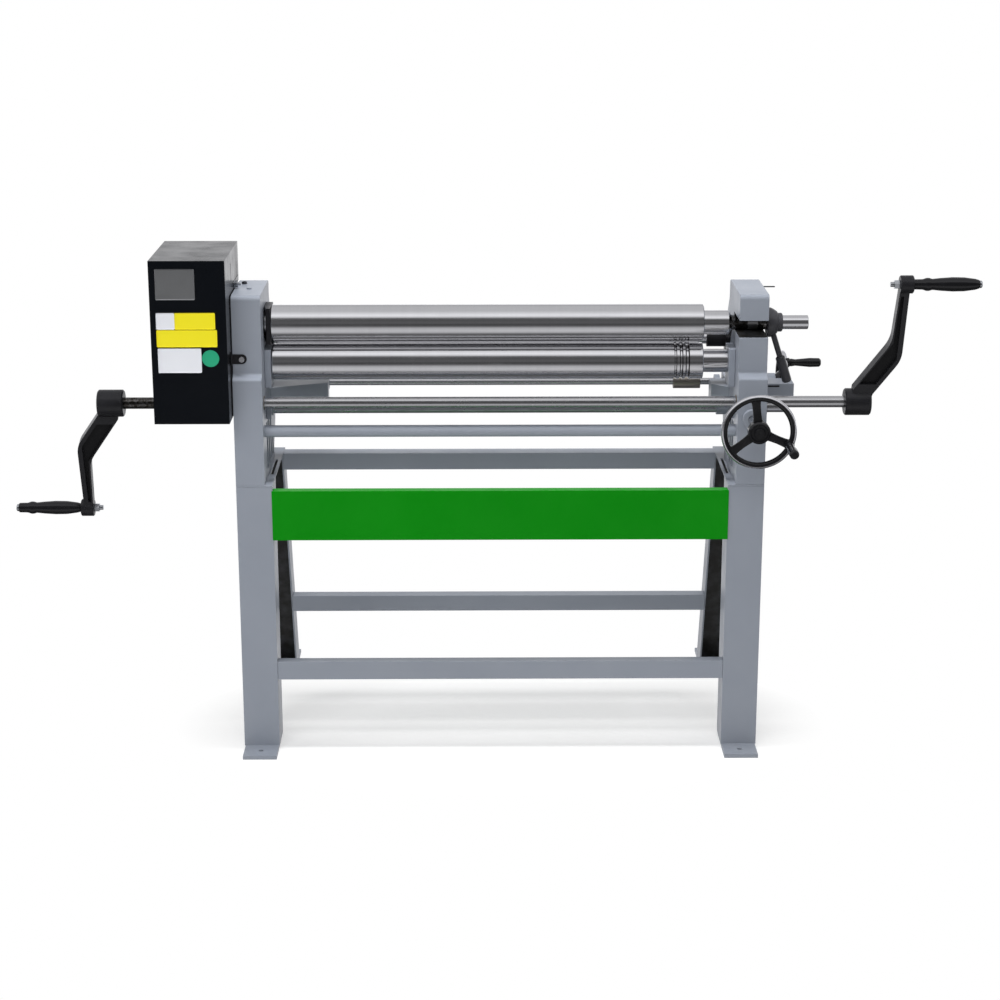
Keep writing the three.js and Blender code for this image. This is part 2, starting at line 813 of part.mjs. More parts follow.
// The wheel sits a little off the middle of the pinion's gaps, as it shifts across them as the roll rises
const wheelTurn = meshLine + wheelLead / (driveModule * wheelTeeth / 2) / rad(1);
const driveWheel = () => spurGear(driveModule, wheelTeeth, wheelLeft, wheelTurn, 0, lowerRollZ,
  driveShaftRadius);
const crankPinion = () => spurGear(driveModule, pinionTeeth, wheelLeft, meshLine + 180 + 180 / pinionTeeth,
  crankY, crankZ, crankShaftRadius);

// Cranks

function crankShaft() {
  return turned([
    [leftHubEnd + shaftRecess, crankShaftRadius - shaftChamfer],
    [leftHubEnd + shaftRecess + shaftChamfer, crankShaftRadius],
    [rightHubEnd - shaftRecess - shaftChamfer, crankShaftRadius],
    [rightHubEnd - shaftRecess, crankShaftRadius - shaftChamfer],
  ], crankY, crankZ, 32);
}

function crankBush(side) {
  const x0 = side * frameMiddle - frameThickness / 2 - crankBushProud;
  const x1 = side * frameMiddle + frameThickness / 2 + crankBushProud;
  return bar(x0, x1, crankY, crankZ, crankBore - gap)
    .subtract(bar(x0 - 1, x1 + 1, crankY, crankZ, crankShaftRadius + runningGap, 32));
}

// The arm's two edges from hub to boss, as distances outwards along the shaft and away from it
const armNear = [[armNearRoot, armStart], [armNearWaist, armNearWaistHeight],
  [armNearElbow, armNearElbowHeight], [armNearTop, crankRadius - armTopInset]];
const armFar = [[armFarRoot, armStart], [armFarWaist, armFarWaistHeight],
  [armFarElbow, armFarElbowHeight], [armFarTop, crankRadius - armTopInset]];

// The channel in the arm's front, between a thin near rim and a broad far one
function armPocket() {
  const top = crankRadius - bossRadius - armNearRim;
  const at = (a, b, level) => a[0] + ((b[0] - a[0]) * (level - a[1])) / (b[1] - a[1]);
  const near = (a, b, level) => [at(a, b, level) + armNearRim, level];
  const far = (a, b, level) => [at(a, b, level) - armFarRim, level];
  const shape = new THREE.Shape([
    near(armNear[1], armNear[2], armPocketStart), near(armNear[1], armNear[2], armNearElbowHeight),
    near(armNear[2], armNear[3], top), far(armFar[2], armFar[3], top),
    far(armFar[2], armFar[3], armFarElbowHeight), far(armFar[1], armFar[2], armPocketStart),
  ].map(([x, y]) => new THREE.Vector2(x, y)));
  const geometry = new THREE.ExtrudeGeometry(shape, { depth: armPocketDepth + 1, bevelEnabled: false });
  geometry.rotateX(Math.PI / 2);
  geometry.translate(0, -crankArmDepth / 2 + armPocketDepth, 0);
  return solid(geometry);
}

// A crank standing up, its hub centred on the origin, its handle boss towards +X
function crankArm() {
  const shape = outline([
    armNear[0], armNear[1], [...armNear[2], armElbowRadius], armNear[3],
    armFar[3], [...armFar[2], armElbowRadius], armFar[1], armFar[0],
  ]);
  const solidArm = { depth: crankArmDepth, bevelEnabled: false, curveSegments: 5 };
  const geometry = new THREE.ExtrudeGeometry(shape, solidArm);
  geometry.rotateX(Math.PI / 2);
  geometry.translate(0, crankArmDepth / 2, 0);
  const half = hubLength / 2;
  const hub = chamferedBar(-half, half, 0, 0, hubRadius, hubChamfer, 32);
  const boss = chamferedBar(crankOffset - bossLength / 2, crankOffset + bossLength / 2, 0, crankRadius,
    bossRadius, bossChamfer, 24);
  return cut(join([cut(solid(geometry), [armPocket()]), hub, boss]), [
    bar(-half - 1, half + 1, 0, 0, crankShaftRadius + gap, 32),
    bar(crankOffset - bossLength, crankOffset + bossLength, 0, crankRadius, gripBoltRadius + gap, 20),
  ]);
}

function crankGrip() {
  const x0 = crankOffset + bossLength / 2 + gap;
  return turned(gripProfile.map(([x, r]) => [x0 + x, r]), 0, crankRadius, 24)
    .subtract(bar(x0 - 1, x0 + gripLength + 1, 0, crankRadius, gripBoltRadius + runningGap, 20));
}

// The bolt that holds a grip: a nut and a stud end inside, a round head outside
function gripBolt() {
  const inner = crankOffset - bossLength / 2 - gap;
  const outer = crankOffset + bossLength / 2 + 2 * gap + gripLength;
  return join([
    bar(inner - studLength, outer + 1, 0, crankRadius, gripBoltRadius, 20),
    bar(inner - nutLength, inner, 0, crankRadius, nutRadius, 6),
    turned([[outer, boltHeadRadius], [outer + boltHeadLength - 2, boltHeadRadius],
      [outer + boltHeadLength, boltHeadRadius - 2]], 0, crankRadius, 20),
  ]);
}

// Turns a crank piece to its lean and carries it to its end of the shaft
function onCrank(body, side) {
  const lean = side > 0 ? rad(rightCrankAngle) : Math.PI + rad(leftCrankAngle);
  const hubX = side > 0 ? rightHubEnd - hubLength / 2 : leftHubEnd + hubLength / 2;
  return place(side > 0 ? body : mirrored(body), [lean, 0, 0], [hubX, crankY, crankZ]);
}

// Handwheels, drawn with the axis along X and the grip side towards +X

function handwheel(radius, gripAngle) {
  const ring = radius - rimRadius;
  const rimPoints = [];
  for (let step = 0; step <= 8; step++) {
    const angle = (step * Math.PI) / 4;
    rimPoints.push(new THREE.Vector2(ring + rimRadius * Math.cos(angle), rimRadius * Math.sin(angle)));
  }
  const rim = new THREE.LatheGeometry(rimPoints, 32);
  rim.rotateZ(-Math.PI / 2);
  const hub = turned([
    [-wheelHubBack, wheelHubRadius - 2 * wheelHubTaper], [-wheelHubBack / 2, wheelHubRadius],
    [wheelHubFront - wheelHubTaper, wheelHubRadius], [wheelHubFront, wheelHubRadius - wheelHubTaper],
  ], 0, 0, 32);
  const spokes = [0, 120, 240].map((step) => {
    const spoke = plate(outline([[spokeRoot, -spokeRootHalf], [ring, -spokeTipHalf], [ring, spokeTipHalf],
      [spokeRoot, spokeRootHalf]]), -spokeHalfThickness, spokeHalfThickness);
    return place(spoke, [rad(gripAngle + step), 0, 0], [0, 0, 0]);
  });
  const seat = bar(-gripSeatBack, gripSeatFront, ring - gripInset, 0, gripSeatRadius, 20)
    .add(bar(0, gripPinReach, ring - gripInset, 0, gripPinRadius, 16));
  return join([solid(rim), hub, ...spokes, place(seat, [rad(gripAngle), 0, 0], [0, 0, 0])])
    .subtract(bar(-wheelHubBack - 1, wheelHubFront + 1, 0, 0, spindleRadius + gap, 24));
}

function wheelGrip(radius, gripAngle, length) {
  const x0 = gripSeatFront + gap;
  const r = radius - rimRadius - gripInset;
  const shape = smallGripProfile.map(([part, share]) => [x0 + part * length, share * smallGripRadius]);
  const grip = turned(shape, r, 0, 20)
    .subtract(bar(x0 - 1, gripPinReach + 2, r, 0, gripPinRadius + runningGap, 16));
  return place(grip, [rad(gripAngle), 0, 0], [0, 0, 0]);
}

const toFront = (body) => place(body, [0, 0, -Math.PI / 2], [wheelX, wheelY, pinchShaftZ]);
const toRear = (body) => body.translate([rearWheelX, rearShaftY, rearShaftZ]);

// A shaft's end that shows in a wheel's hub
const hubTip = (x) => [x + wheelHubFront + gap, x + wheelHubFront + spindleTip];

function frontSpindle() {
  const length = spindleInnerEnd - wheelY;
  const [tip0, tip1] = hubTip(0);
  return toFront(join([
    bar(-length, tip0, 0, 0, spindleRadius, 24),
    bar(tip0 - 1, tip1, 0, 0, spindleTipRadius, 24),
  ]));
}

function spindleFlange() {
  const back = frameFront - stepDepth - gap;
  const front = back - flangeThickness;
  return barY(wheelX, front, back, pinchShaftZ, flangeRadius)
    .subtract(barY(wheelX, front - 1, back + 1, pinchShaftZ, spindleRadius + runningGap, 24));
}

function rearShaft() {
  const [tip0, tip1] = hubTip(rearWheelX);
  return join([
    bar(-frameMiddle - screwBoxHalf - shaftTail, tip0, rearShaftY, rearShaftZ, rearShaftRadius, 24),
    bar(tip0 - 1, tip1, rearShaftY, rearShaftZ, spindleTipRadius, 24),
  ]);
}

function shaftCoupling() {
  const left = frameInner - couplingReach;
  return bar(left, left + couplingLength, rearShaftY, rearShaftZ, couplingRadius)
    .subtract(bar(left - 1, left + couplingLength + 1, rearShaftY, rearShaftZ, rearShaftRadius + gap, 24));
}

function pinchShaft() {
  const right = frameOuter + pinchShaftReach;
  return turned([[-frameMiddle, pinchShaftRadius], [right - shaftChamfer, pinchShaftRadius],
    [right, pinchShaftRadius - shaftChamfer]], pinchShaftY, pinchShaftZ, 32);
}

function pinchBracket(side) {
  const face = frameInner - gap;
  const reach = face - (side < 0 ? leftPinchBossReach : rightPinchBossReach);
  const body = join([
    block(face - pinchPlateThickness, face,
      pinchShaftY - pinchPlateHalfWidth, pinchShaftY + pinchPlateHalfWidth,
      pinchShaftZ - pinchPlateHalfHeight, pinchShaftZ + pinchPlateHalfHeight),
    bar(reach, face, pinchShaftY, pinchShaftZ, pinchBossRadius),
  ]).subtract(bar(reach - 1, face + 1, pinchShaftY, pinchShaftZ, pinchShaftRadius + runningGap));
  return side < 0 ? mirrored(body) : body;
}

function pinchCollar() {
  const right = frameOuter + collarLength;
  return bar(frameOuter + gap, right, pinchShaftY, pinchShaftZ, collarRadius)
    .subtract(bar(frameOuter, right + 1, pinchShaftY, pinchShaftZ, pinchShaftRadius + gap));
}

// Release lever on the free end of the upper roll

const leverLength = leverReach / Math.cos(rad(leverTilt));

function tilted(body) {
  const root = frameOuter + leverClearance + leverRodOffset;
  return place(body, [0, rad(90 - leverTilt), 0], [root, 0, upperRollZ]);
}

function releaseLever() {
  const left = frameOuter + leverClearance;
  const hubRight = left + leverFlangeLength + leverHubLength;
  const body = turned([
    [left, leverFlangeRadius - leverFlangeChamfer], [left + leverFlangeChamfer, leverFlangeRadius],
    [left + leverFlangeRim, leverFlangeRadius],
    [left + leverShoulder, leverFlangeRadius - leverShoulderDrop],
    [left + leverFlangeLength - leverFlangeChamfer, leverHubRadius + leverShoulderDrop],
    [left + leverFlangeLength, leverHubRadius], [hubRight - leverFlangeChamfer, leverHubRadius],
    [hubRight, leverHubRadius - leverFlangeChamfer],
  ], 0, upperRollZ, 32);
  const rod = tilted(bar(leverRodRoot, leverLength - leverGripCap - 2, 0, 0, leverRodRadius, 20));
  return body.add(rod).subtract(bar(left - 1, hubRight + 1, 0, upperRollZ, stubRadius + runningGap, 32));
}

function leverGrip() {
  const start = leverLength - leverGripLength;
  return tilted(chamferedBar(start, leverLength, 0, 0, leverGripRadius, leverGripChamfer, 24)
    .subtract(bar(start - 1, leverLength - leverGripCap, 0, 0, leverRodRadius + gap, 20)));
}

// Gear cover

function gearCover() {
  const right = -frameOuter - coverGap;
  const outer = block(coverLeft, right, coverFront, coverBack, coverBottom, coverTop);
  const inner = block(coverLeft + coverSheet, right - coverSheet,
    coverFront + coverSheet, coverBack - coverSheet, coverBottom + coverSheet, coverTop - coverSheet);
  const frameCut = block(right - coverSheet - 1, right + 1, frameFront - coverGap, coverBack + 1,
    coverBottom - 1, frameTop + coverGap);
  const shaftHole = bar(coverLeft - 1, coverLeft + coverSheet + 1, crankY, crankZ,
    crankShaftRadius + coverHoleGap);
  const ventBottom = frameTop + ventAboveFrame;
  const vent = block(right - coverSheet - 1, right + 1, ventFront, ventFront + ventWidth,
    ventBottom, ventBottom + ventHeight);
  return cut(outer, [inner, frameCut, shaftHole, vent]);
}

// An angle screwed to the side frame, with a rounded end
function coverTab() {
  const face = frameFront - gap;
  const left = -frameOuter - coverGap + gap;
  const screwX = left + tabLength - tabHalf;
  const tab = join([
    block(left, screwX, face - tabSheet, face, tabZ - tabHalf, tabZ + tabHalf),
    barY(screwX, face - tabSheet, face, tabZ, tabHalf, 24),
  ]);
  const bent = block(left, left + tabSheet, face - tabFold, face, tabZ - tabHalf, tabZ + tabHalf);
  const screw = barY(screwX, face - tabSheet - tabScrewHead, face - 1, tabZ, tabScrewRadius, 12);
  return join([tab, bent, screw]);
}

// Stand

function foot(y0, y1, holeY) {
  const middle = legInner + legWidth / 2;
  return block(middle - footWidth / 2, middle + footWidth / 2, y0, y1, 0, footThickness)
    .subtract(barZ(middle, holeY, -1, footThickness + 1, footHoleRadius, 24));
}

function frontLeg() {
  const back = legFront + legDepth;
  const outer = block(legInner, legInner + legWidth, legFront, back, footThickness - 1, legTop);
  const inside = block(legInner + sheet, legInner + legWidth - sheet, legFront + sheet, back + 1,
    footThickness, legTop + 1);
  return outer.subtract(inside).add(foot(legFront - footLength, back, legFront - footLength / 2));
}

const rearLegSlope = (rearLegBottomY - rearLegTopY) / legTop;
const rearLegY = (z) => rearLegBottomY - rearLegSlope * z;

function rearLeg() {
  const low = footThickness - 1;
  const side = (front, back) => outline([
    [rearLegY(low) + front, low], [rearLegY(low) + back, low],
    [rearLegY(legTop) + back + rearLegTopDepth - rearLegDepth, legTop], [rearLegY(legTop) + front, legTop],
  ]);
  const walls = plate(side(0, rearLegDepth), legInner, legInner + legWidth)
    .subtract(plate(side(-rearLegDepth, rearLegDepth - sheet), legInner + sheet, legInner + legWidth - sheet));
  const y0 = rearLegY(0);
  const y1 = y0 + rearLegDepth + footLength;
  return walls.add(foot(y0, y1, y1 - footLength / 2));
}

function topPlate() {
  const plateBody = block(legInner, legInner + legWidth, legFront, rearLegTopY + rearLegTopDepth,
    legTop + gap, frameBottom - gap);
  const slotEnd = frameInner - plateSlotInset;
  return plateBody.subtract(block(slotEnd - plateSlotWidth, slotEnd, plateSlotFront, plateSlotBack,
    legTop, frameBottom));
}

const rail = (y, z, depth, height) => block(-legInner + gap, legInner - gap, y, y + depth, z, z + height);

// A rail is a box section with open ends
function boxRail(y, z, depth, height) {
  return rail(y, z, depth, height).subtract(block(-legInner - 1, legInner + 1,
    y + railWall, y + depth - railWall, z + railWall, z + height - railWall));
}

function frontPanel() {
  const back = legFront - gap;
  const inner = legInner - gap;
  const top = panelBottom + panelHeight;
  return join([
    block(-legInner - panelLap, legInner + panelLap, back - panelSheet, back, panelBottom, top),
    block(-inner, inner, back - 1, back + panelReturn, panelBottom, panelBottom + panelSheet),
    block(-inner, inner, back - 1, back + panelReturn, top - panelSheet, top),
  ]);
}

const tieBar = () => bar(-frameInner - tieBarReach, frameInner + tieBarReach,
  tieBarY, tieBarZ, tieBarRadius);

// The machine

const machine = new THREE.Group();
machine.position.set(-footprintX, -footprintY, 0);

function add(name, body, material) {
  const mesh = new THREE.Mesh(geometryOf(body), material);
  mesh.name = name;
  machine.add(mesh);
}

for (const [name, side] of [['left', -1], ['right', 1]]) {
  const onSide = (body) => (side < 0 ? mirrored(body) : body);
  add(`${name}_front_leg`, onSide(frontLeg()), greyPaint);
  add(`${name}_rear_leg`, onSide(rearLeg()), greyPaint);
  add(`${name}_top_plate`, onSide(topPlate()), greyPaint);
  add(`${name}_lower_bearing`, lowerBearing(side), greyPaint);
  add(`${name}_rear_bearing`, rearBearing(side), darkSteel);
  add(`${name}_rear_screw`, rearScrew(side), darkSteel);
  add(`${name}_screw_box`, screwBox(side), greyPaint);
  add(`${name}_pinch_bracket`, pinchBracket(side), greyPaint);
  add(`${name}_crank_bush`, crankBush(side), bronze);
  add(`${name}_crank_arm`, onCrank(crankArm(), side), blackCast);
  add(`${name}_crank_grip`, onCrank(crankGrip(), side), blackPlastic);
  add(`${name}_grip_bolt`, onCrank(gripBolt(), side), zinc);
}

add('left_side_frame', leftSideFrame(), greyPaint);
add('right_side_frame', rightSideFrame(), greyPaint);
add('front_lower_rail', boxRail(legFront + 1, frontRailBottom, frontRailDepth, frontRailHeight), greyPaint);
add('rear_lower_rail', boxRail(rearLegY(rearRailBottom + rearRailHeight), rearRailBottom, rearRailDepth,
  rearRailHeight), greyPaint);
add('rear_top_rail', boxRail(rearLegTopY, frameBottom - topRailHeight, topRailDepth, topRailHeight),
  greyPaint);
add('front_panel', frontPanel(), greenPaint);
add('tie_bar', tieBar(), greyPaint);
add('left_shaft_bracket', leftShaftBracket(), greyPaint);
add('right_shaft_bracket', rightShaftBracket(), greyPaint);
add('outer_shaft_bracket', outerShaftBracket(), greyPaint);
add('gear_cover', gearCover(), blackPaint);
add('cover_tab', coverTab(), blackPaint);
add('upper_trunnion_pin', trunnionPin(true), darkSteel);
add('lower_trunnion_pin', trunnionPin(false), darkSteel);
add('upper_gear_bush', upperGearBush(), bronze);
add('swing_bearing', swingBearing(), blackCast);
add('upper_roll', upperRoll(), groundSteel);
add('lower_roll', lowerRoll(), groundSteel);
add('rear_roll', rearRoll(), groundSteel);
add('upper_roll_gear', upperGear(), darkSteel);
add('lower_roll_gear', lowerGear(), darkSteel);
add('drive_wheel', driveWheel(), darkSteel);
add('crank_pinion', crankPinion(), darkSteel);
add('crank_shaft', crankShaft(), groundSteel);
add('release_lever', releaseLever(), blackCast);
add('release_lever_grip', leverGrip(), blackPlastic);
add('front_handwheel', toFront(handwheel(frontWheelRadius, frontGripAngle)), blackPlastic);
add('front_handwheel_grip', toFront(wheelGrip(frontWheelRadius, frontGripAngle, frontGripLength)),
  blackPlastic);
add('front_spindle', frontSpindle(), groundSteel);
add('spindle_flange', spindleFlange(), greyPaint);
add('pinch_shaft', pinchShaft(), darkSteel);
add('pinch_collar', pinchCollar(), darkSteel);
add('rear_shaft', rearShaft(), groundSteel);
add('shaft_coupling', shaftCoupling(), darkSteel);
add('rear_handwheel', toRear(handwheel(rearWheelRadius, rearGripAngle)), blackPlastic);
add('rear_handwheel_grip', toRear(wheelGrip(rearWheelRadius, rearGripAngle, rearGripLength)), blackPlastic);

export default machine;
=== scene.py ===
import json
import math
from itertools import pairwise

import bpy
from mathutils import Matrix, Vector


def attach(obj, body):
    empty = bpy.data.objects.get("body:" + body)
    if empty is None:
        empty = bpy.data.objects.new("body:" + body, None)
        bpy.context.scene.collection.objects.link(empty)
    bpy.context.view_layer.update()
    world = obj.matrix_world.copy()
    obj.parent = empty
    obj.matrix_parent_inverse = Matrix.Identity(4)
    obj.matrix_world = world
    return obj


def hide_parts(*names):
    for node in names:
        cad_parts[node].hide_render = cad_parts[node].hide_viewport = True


bl_info = {
    "name": "Slip Roll Machine",
    "version": (1, 0, 0),
    "blender": (4, 5, 0),
    "location": "View3D > Sidebar > Slip Roll",
    "description": "Dresses the slip roll's solids with finished pieces, paint and metal",
    "category": "Object",
}

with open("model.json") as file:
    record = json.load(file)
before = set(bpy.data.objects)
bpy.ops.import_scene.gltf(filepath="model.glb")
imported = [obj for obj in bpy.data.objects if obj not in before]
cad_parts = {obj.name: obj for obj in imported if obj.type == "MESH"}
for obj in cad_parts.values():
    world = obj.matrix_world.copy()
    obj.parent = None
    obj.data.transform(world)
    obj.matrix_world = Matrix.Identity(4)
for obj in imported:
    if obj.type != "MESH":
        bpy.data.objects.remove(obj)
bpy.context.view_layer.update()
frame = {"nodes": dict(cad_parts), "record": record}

# Frame places, in metres: the middle between the side frames, and the axes as (y, z) or (x, z)
MIDDLE_X = 0.038
ROLL_Y = -0.121
UPPER_AXIS = (ROLL_Y, 1.066)
LOWER_AXIS = (ROLL_Y, 0.971)
REAR_AXIS = (-0.001, 1.003)
CRANK_AXIS = (-0.191, 0.8834)
PINCH_AXIS = (ROLL_Y, 0.853)
REAR_SHAFT_AXIS = (0.161, 0.8545)
TIE_AXIS = (-0.191, 0.8125)
SPINDLE_AXIS = (0.646, 0.853)
FRONT_WHEEL = (0.646, -0.371, 0.853)
REAR_WHEEL = (0.771, 0.161, 0.8545)
COVER_FRONT = -0.303

# How far edges are rounded, in metres
CAST_EDGE = 0.002
ARM_EDGE = 0.0018
LEG_EDGE = 0.0012
BLOCK_EDGE = 0.001
COVER_EDGE = 0.0009
LEVER_EDGE = 0.0008
HUB_EDGE = 0.0012
GRIP_BOLT_EDGE = 0.0005
SHEET_EDGE = 0.0006
ROLL_EDGE = 0.0005
CRANK_SHAFT_EDGE = 0.0004
FINE_EDGE = 0.0003
PIN_EDGE = 0.0002
HAIR_EDGE = 0.0001
CRANK_GRIP_EDGE = 0.003
WHEEL_GRIP_EDGE = 0.002

# The bores of round pieces, in metres
FLANGE_BORE = 0.0103
COLLAR_BORE = 0.0128
COUPLING_BORE = 0.009
CRANK_GRIP_BORE = 0.0063
WHEEL_GRIP_BORE = 0.0043

# Colours that several finishes share
DUST = (0.35, 0.33, 0.3, 1)
# The two grease colours are also painted shade: inside the rear legs' channels, in the castings' opening
# round the upper roll, on the journal there and in the wire grooves
GREASE_AND_SHADE_ON_PAINT = (0.02, 0.019, 0.017, 1)
GREASE_AND_SHADE_ON_STEEL = (0.035, 0.03, 0.024, 1)
# Painted shade for the crank arms' pocket floors
POCKET_SHADE_BLACK = (0.001, 0.001, 0.001, 1)

# Shading groups


def new_group(name, inputs, outputs):
    """A shader node group with its sockets: (name, kind, default) in, (name, kind) out."""
    group = bpy.data.node_groups.new(name, "ShaderNodeTree")
    for label, kind, default in inputs:
        socket = group.interface.new_socket(label, in_out="INPUT", socket_type="NodeSocket" + kind)
        socket.default_value = default
    for label, kind in outputs:
        group.interface.new_socket(label, in_out="OUTPUT", socket_type="NodeSocket" + kind)
    return group


class Wiring:
    """Adds nodes to a tree and links them, so that a material reads from top to bottom."""

    def __init__(self, tree):
        self.tree = tree

    def node(self, kind, inputs=None, **settings):
        made = self.tree.nodes.new("ShaderNode" + kind)
        for key, value in settings.items():
            setattr(made, key, value)
        for key, value in (inputs or {}).items():
            self.put(made.inputs[key], value)
        return made

    def put(self, socket, value):
        if isinstance(value, bpy.types.NodeSocket):
            self.tree.links.new(value, socket)
        elif isinstance(value, bpy.types.Node):
            self.tree.links.new(value.outputs[0], socket)
        else:
            socket.default_value = value

    def noise(self, place, scale, detail=3.0, roughness=0.55, stretch=(1, 1, 1)):
        at = self.node("Mapping", {"Vector": place, "Scale": stretch})
        made = self.node("TexNoise", {"Vector": at, "Scale": scale, "Detail": detail, "Roughness": roughness})
        return made.outputs["Fac"]

    def between(self, value, low, high, to_low=0.0, to_high=1.0):
        made = self.node("MapRange", {"Value": value, "From Min": low, "From Max": high,
                                      "To Min": to_low, "To Max": to_high})
        return made.outputs["Result"]

    def maths(self, operation, a, b=0.0):
        made = self.node("Math", operation=operation)
        self.put(made.inputs[0], a)
        self.put(made.inputs[1], b)
        return made.outputs[0]

    def mix(self, factor, a, b, blend="MIX"):
        made = self.node("Mix", data_type="RGBA", blend_type=blend)
        self.put(made.inputs["Factor"], factor)
        self.put(made.inputs["A"], a)
        self.put(made.inputs["B"], b)
        return made.outputs["Result"]


def wear_group():
    """Worn edges: 1 on the rounded edge faces where they are rubbed, broken up by noise."""
    group = new_group("edge_wear", [("Amount", "Float", 0.5), ("Grain", "Float", 120.0)], [("Mask", "Float")])
    w = Wiring(group)
    given = group.nodes.new("NodeGroupInput")
    out = group.nodes.new("NodeGroupOutput")
    place = w.node("TexCoord").outputs["Object"]
    edge = w.node("Attribute", attribute_name="edge").outputs["Fac"]
    specks = w.between(w.noise(place, given.outputs["Grain"], 4.0), 0.45, 0.7)
    worn = w.maths("MULTIPLY", w.maths("MULTIPLY", edge, specks), given.outputs["Amount"])
    w.put(out.inputs["Mask"], worn)
    return group


def grime_group():
    """Dust and handling marks: large soft patches, and more towards the floor."""
    group = new_group("grime", [("Amount", "Float", 0.3), ("Scale", "Float", 5.0)], [("Mask", "Float")])
    w = Wiring(group)
    given = group.nodes.new("NodeGroupInput")
    out = group.nodes.new("NodeGroupOutput")
    place = w.node("TexCoord").outputs["Object"]
    patches = w.between(w.noise(place, given.outputs["Scale"], 5.0, 0.6), 0.4, 0.75)
    height = w.between(w.node("SeparateXYZ", {"Vector": place}).outputs["Z"], 0.0, 0.35, 1.0, 0.35)
    mask = w.maths("MULTIPLY", w.maths("MULTIPLY", patches, height), given.outputs["Amount"])
    w.put(out.inputs["Mask"], mask)
    return group


def skin_group():
    """The small relief of a painted or cast skin: fine orange peel over larger waves."""
    sockets = [("Peel", "Float", 500.0), ("Waves", "Float", 40.0), ("Share", "Float", 0.5)]
    group = new_group("skin_relief", sockets, [("Height", "Float")])
    w = Wiring(group)
    given = group.nodes.new("NodeGroupInput")
    out = group.nodes.new("NodeGroupOutput")
    place = w.node("TexCoord").outputs["Object"]
    peel = w.noise(place, given.outputs["Peel"], 2.0)
    waves = w.noise(place, given.outputs["Waves"], 2.0)
    w.put(out.inputs["Height"], w.maths("ADD", peel, w.maths("MULTIPLY", waves, given.outputs["Share"])))
    return group


def lines_group():
    """Grinding and turning lines that run round a piece lying along X."""
    sockets = [("Pitch", "Float", 900.0), ("Spread", "Float", 6.0)]
    group = new_group("turning_lines", sockets, [("Height", "Float")])
    w = Wiring(group)
    given = group.nodes.new("NodeGroupInput")
    out = group.nodes.new("NodeGroupOutput")
    place = w.node("TexCoord").outputs["Object"]
    fine = w.noise(place, given.outputs["Pitch"], 2.0, 0.6, (1, 0.012, 0.012))
    broad = w.noise(place, given.outputs["Spread"], 3.0, 0.6, (6, 0.2, 0.2))
    w.put(out.inputs["Height"], w.maths("ADD", fine, w.maths("MULTIPLY", broad, 0.6)))
    return group


GROUPS = {}


def group_node(w, name, values=None):
    made = w.node("Group")
    made.node_tree = GROUPS[name]
    for key, value in (values or {}).items():
        w.put(made.inputs[key], value)
    return made.outputs[0]


# Materials


def new_material(name):
    material = bpy.data.materials.new(name)
    material.use_nodes = True
    material.node_tree.nodes.clear()
    w = Wiring(material.node_tree)
    shader = w.node("BsdfPrincipled")
    out = w.node("OutputMaterial")
    w.put(out.inputs["Surface"], shader.outputs["BSDF"])
    return material, w, shader


def shade(rgb, factor):
    return (*(min(1.0, max(0.0, c * factor)) for c in rgb[:3]), 1.0)


def linear(code):
    """A colour as the screen shows it, from 0 to 255, as the linear colour that the shader needs."""
    values = [c / 255 for c in code]
    return tuple(c / 12.92 if c <= 0.04045 else ((c + 0.055) / 1.055) ** 2.4 for c in values)


def paint(name, rgb, roughness, peel=500.0, relief=0.0001, dust=0.12, wear=0.25, bare=(0.42, 0.43, 0.45),
          gloss=0.5):
    """Sprayed machine paint: drift in tone, orange peel, dust low down, rubbed edges, and a dark mix on
    marked faces that is grease on some and painted shade on others.
    """
    material, w, shader = new_material(name)
    place = w.node("TexCoord").outputs["Object"]
    drift = w.between(w.noise(place, 3.0, 4.0), 0.3, 0.7)
    tone = w.mix(drift, shade(rgb, 0.95), shade(rgb, 1.05))
    grime = group_node(w, "grime", {"Amount": dust, "Scale": 6.0})
    dusty = w.mix(grime, tone, DUST)
    # Marked faces get a dark mix: grease on some, painted shade on others, such as inside the rear legs'
    # channels
    grease_and_shade = w.node("Attribute", attribute_name="grease_and_shade").outputs["Fac"]
    grease_and_shade_mask = w.maths("MULTIPLY", grease_and_shade, w.between(w.noise(place, 35.0, 4.0), 0.3, 0.6, 0.85, 1.0))
    greased_and_shaded = w.mix(grease_and_shade_mask, dusty, GREASE_AND_SHADE_ON_PAINT)
    worn = group_node(w, "edge_wear", {"Amount": wear, "Grain": 90.0})
    w.put(shader.inputs["Base Color"], w.mix(worn, greased_and_shaded, (*bare, 1)))
    rough = w.between(w.noise(place, 14.0, 4.0), 0.3, 0.7, roughness - 0.05, roughness + 0.08)
    w.put(shader.inputs["Roughness"], w.maths("ADD", rough, w.maths("MULTIPLY", grime, 0.4)))
    w.put(shader.inputs["Metallic"], w.maths("MULTIPLY", worn, 0.5))
    height = group_node(w, "skin_relief", {"Peel": peel, "Waves": 60.0, "Share": 0.6})
    bump = w.node("Bump", {"Height": height, "Distance": relief, "Strength": 0.6})
    w.put(shader.inputs["Normal"], bump)
    shader.inputs["Specular IOR Level"].default_value = gloss
    return material


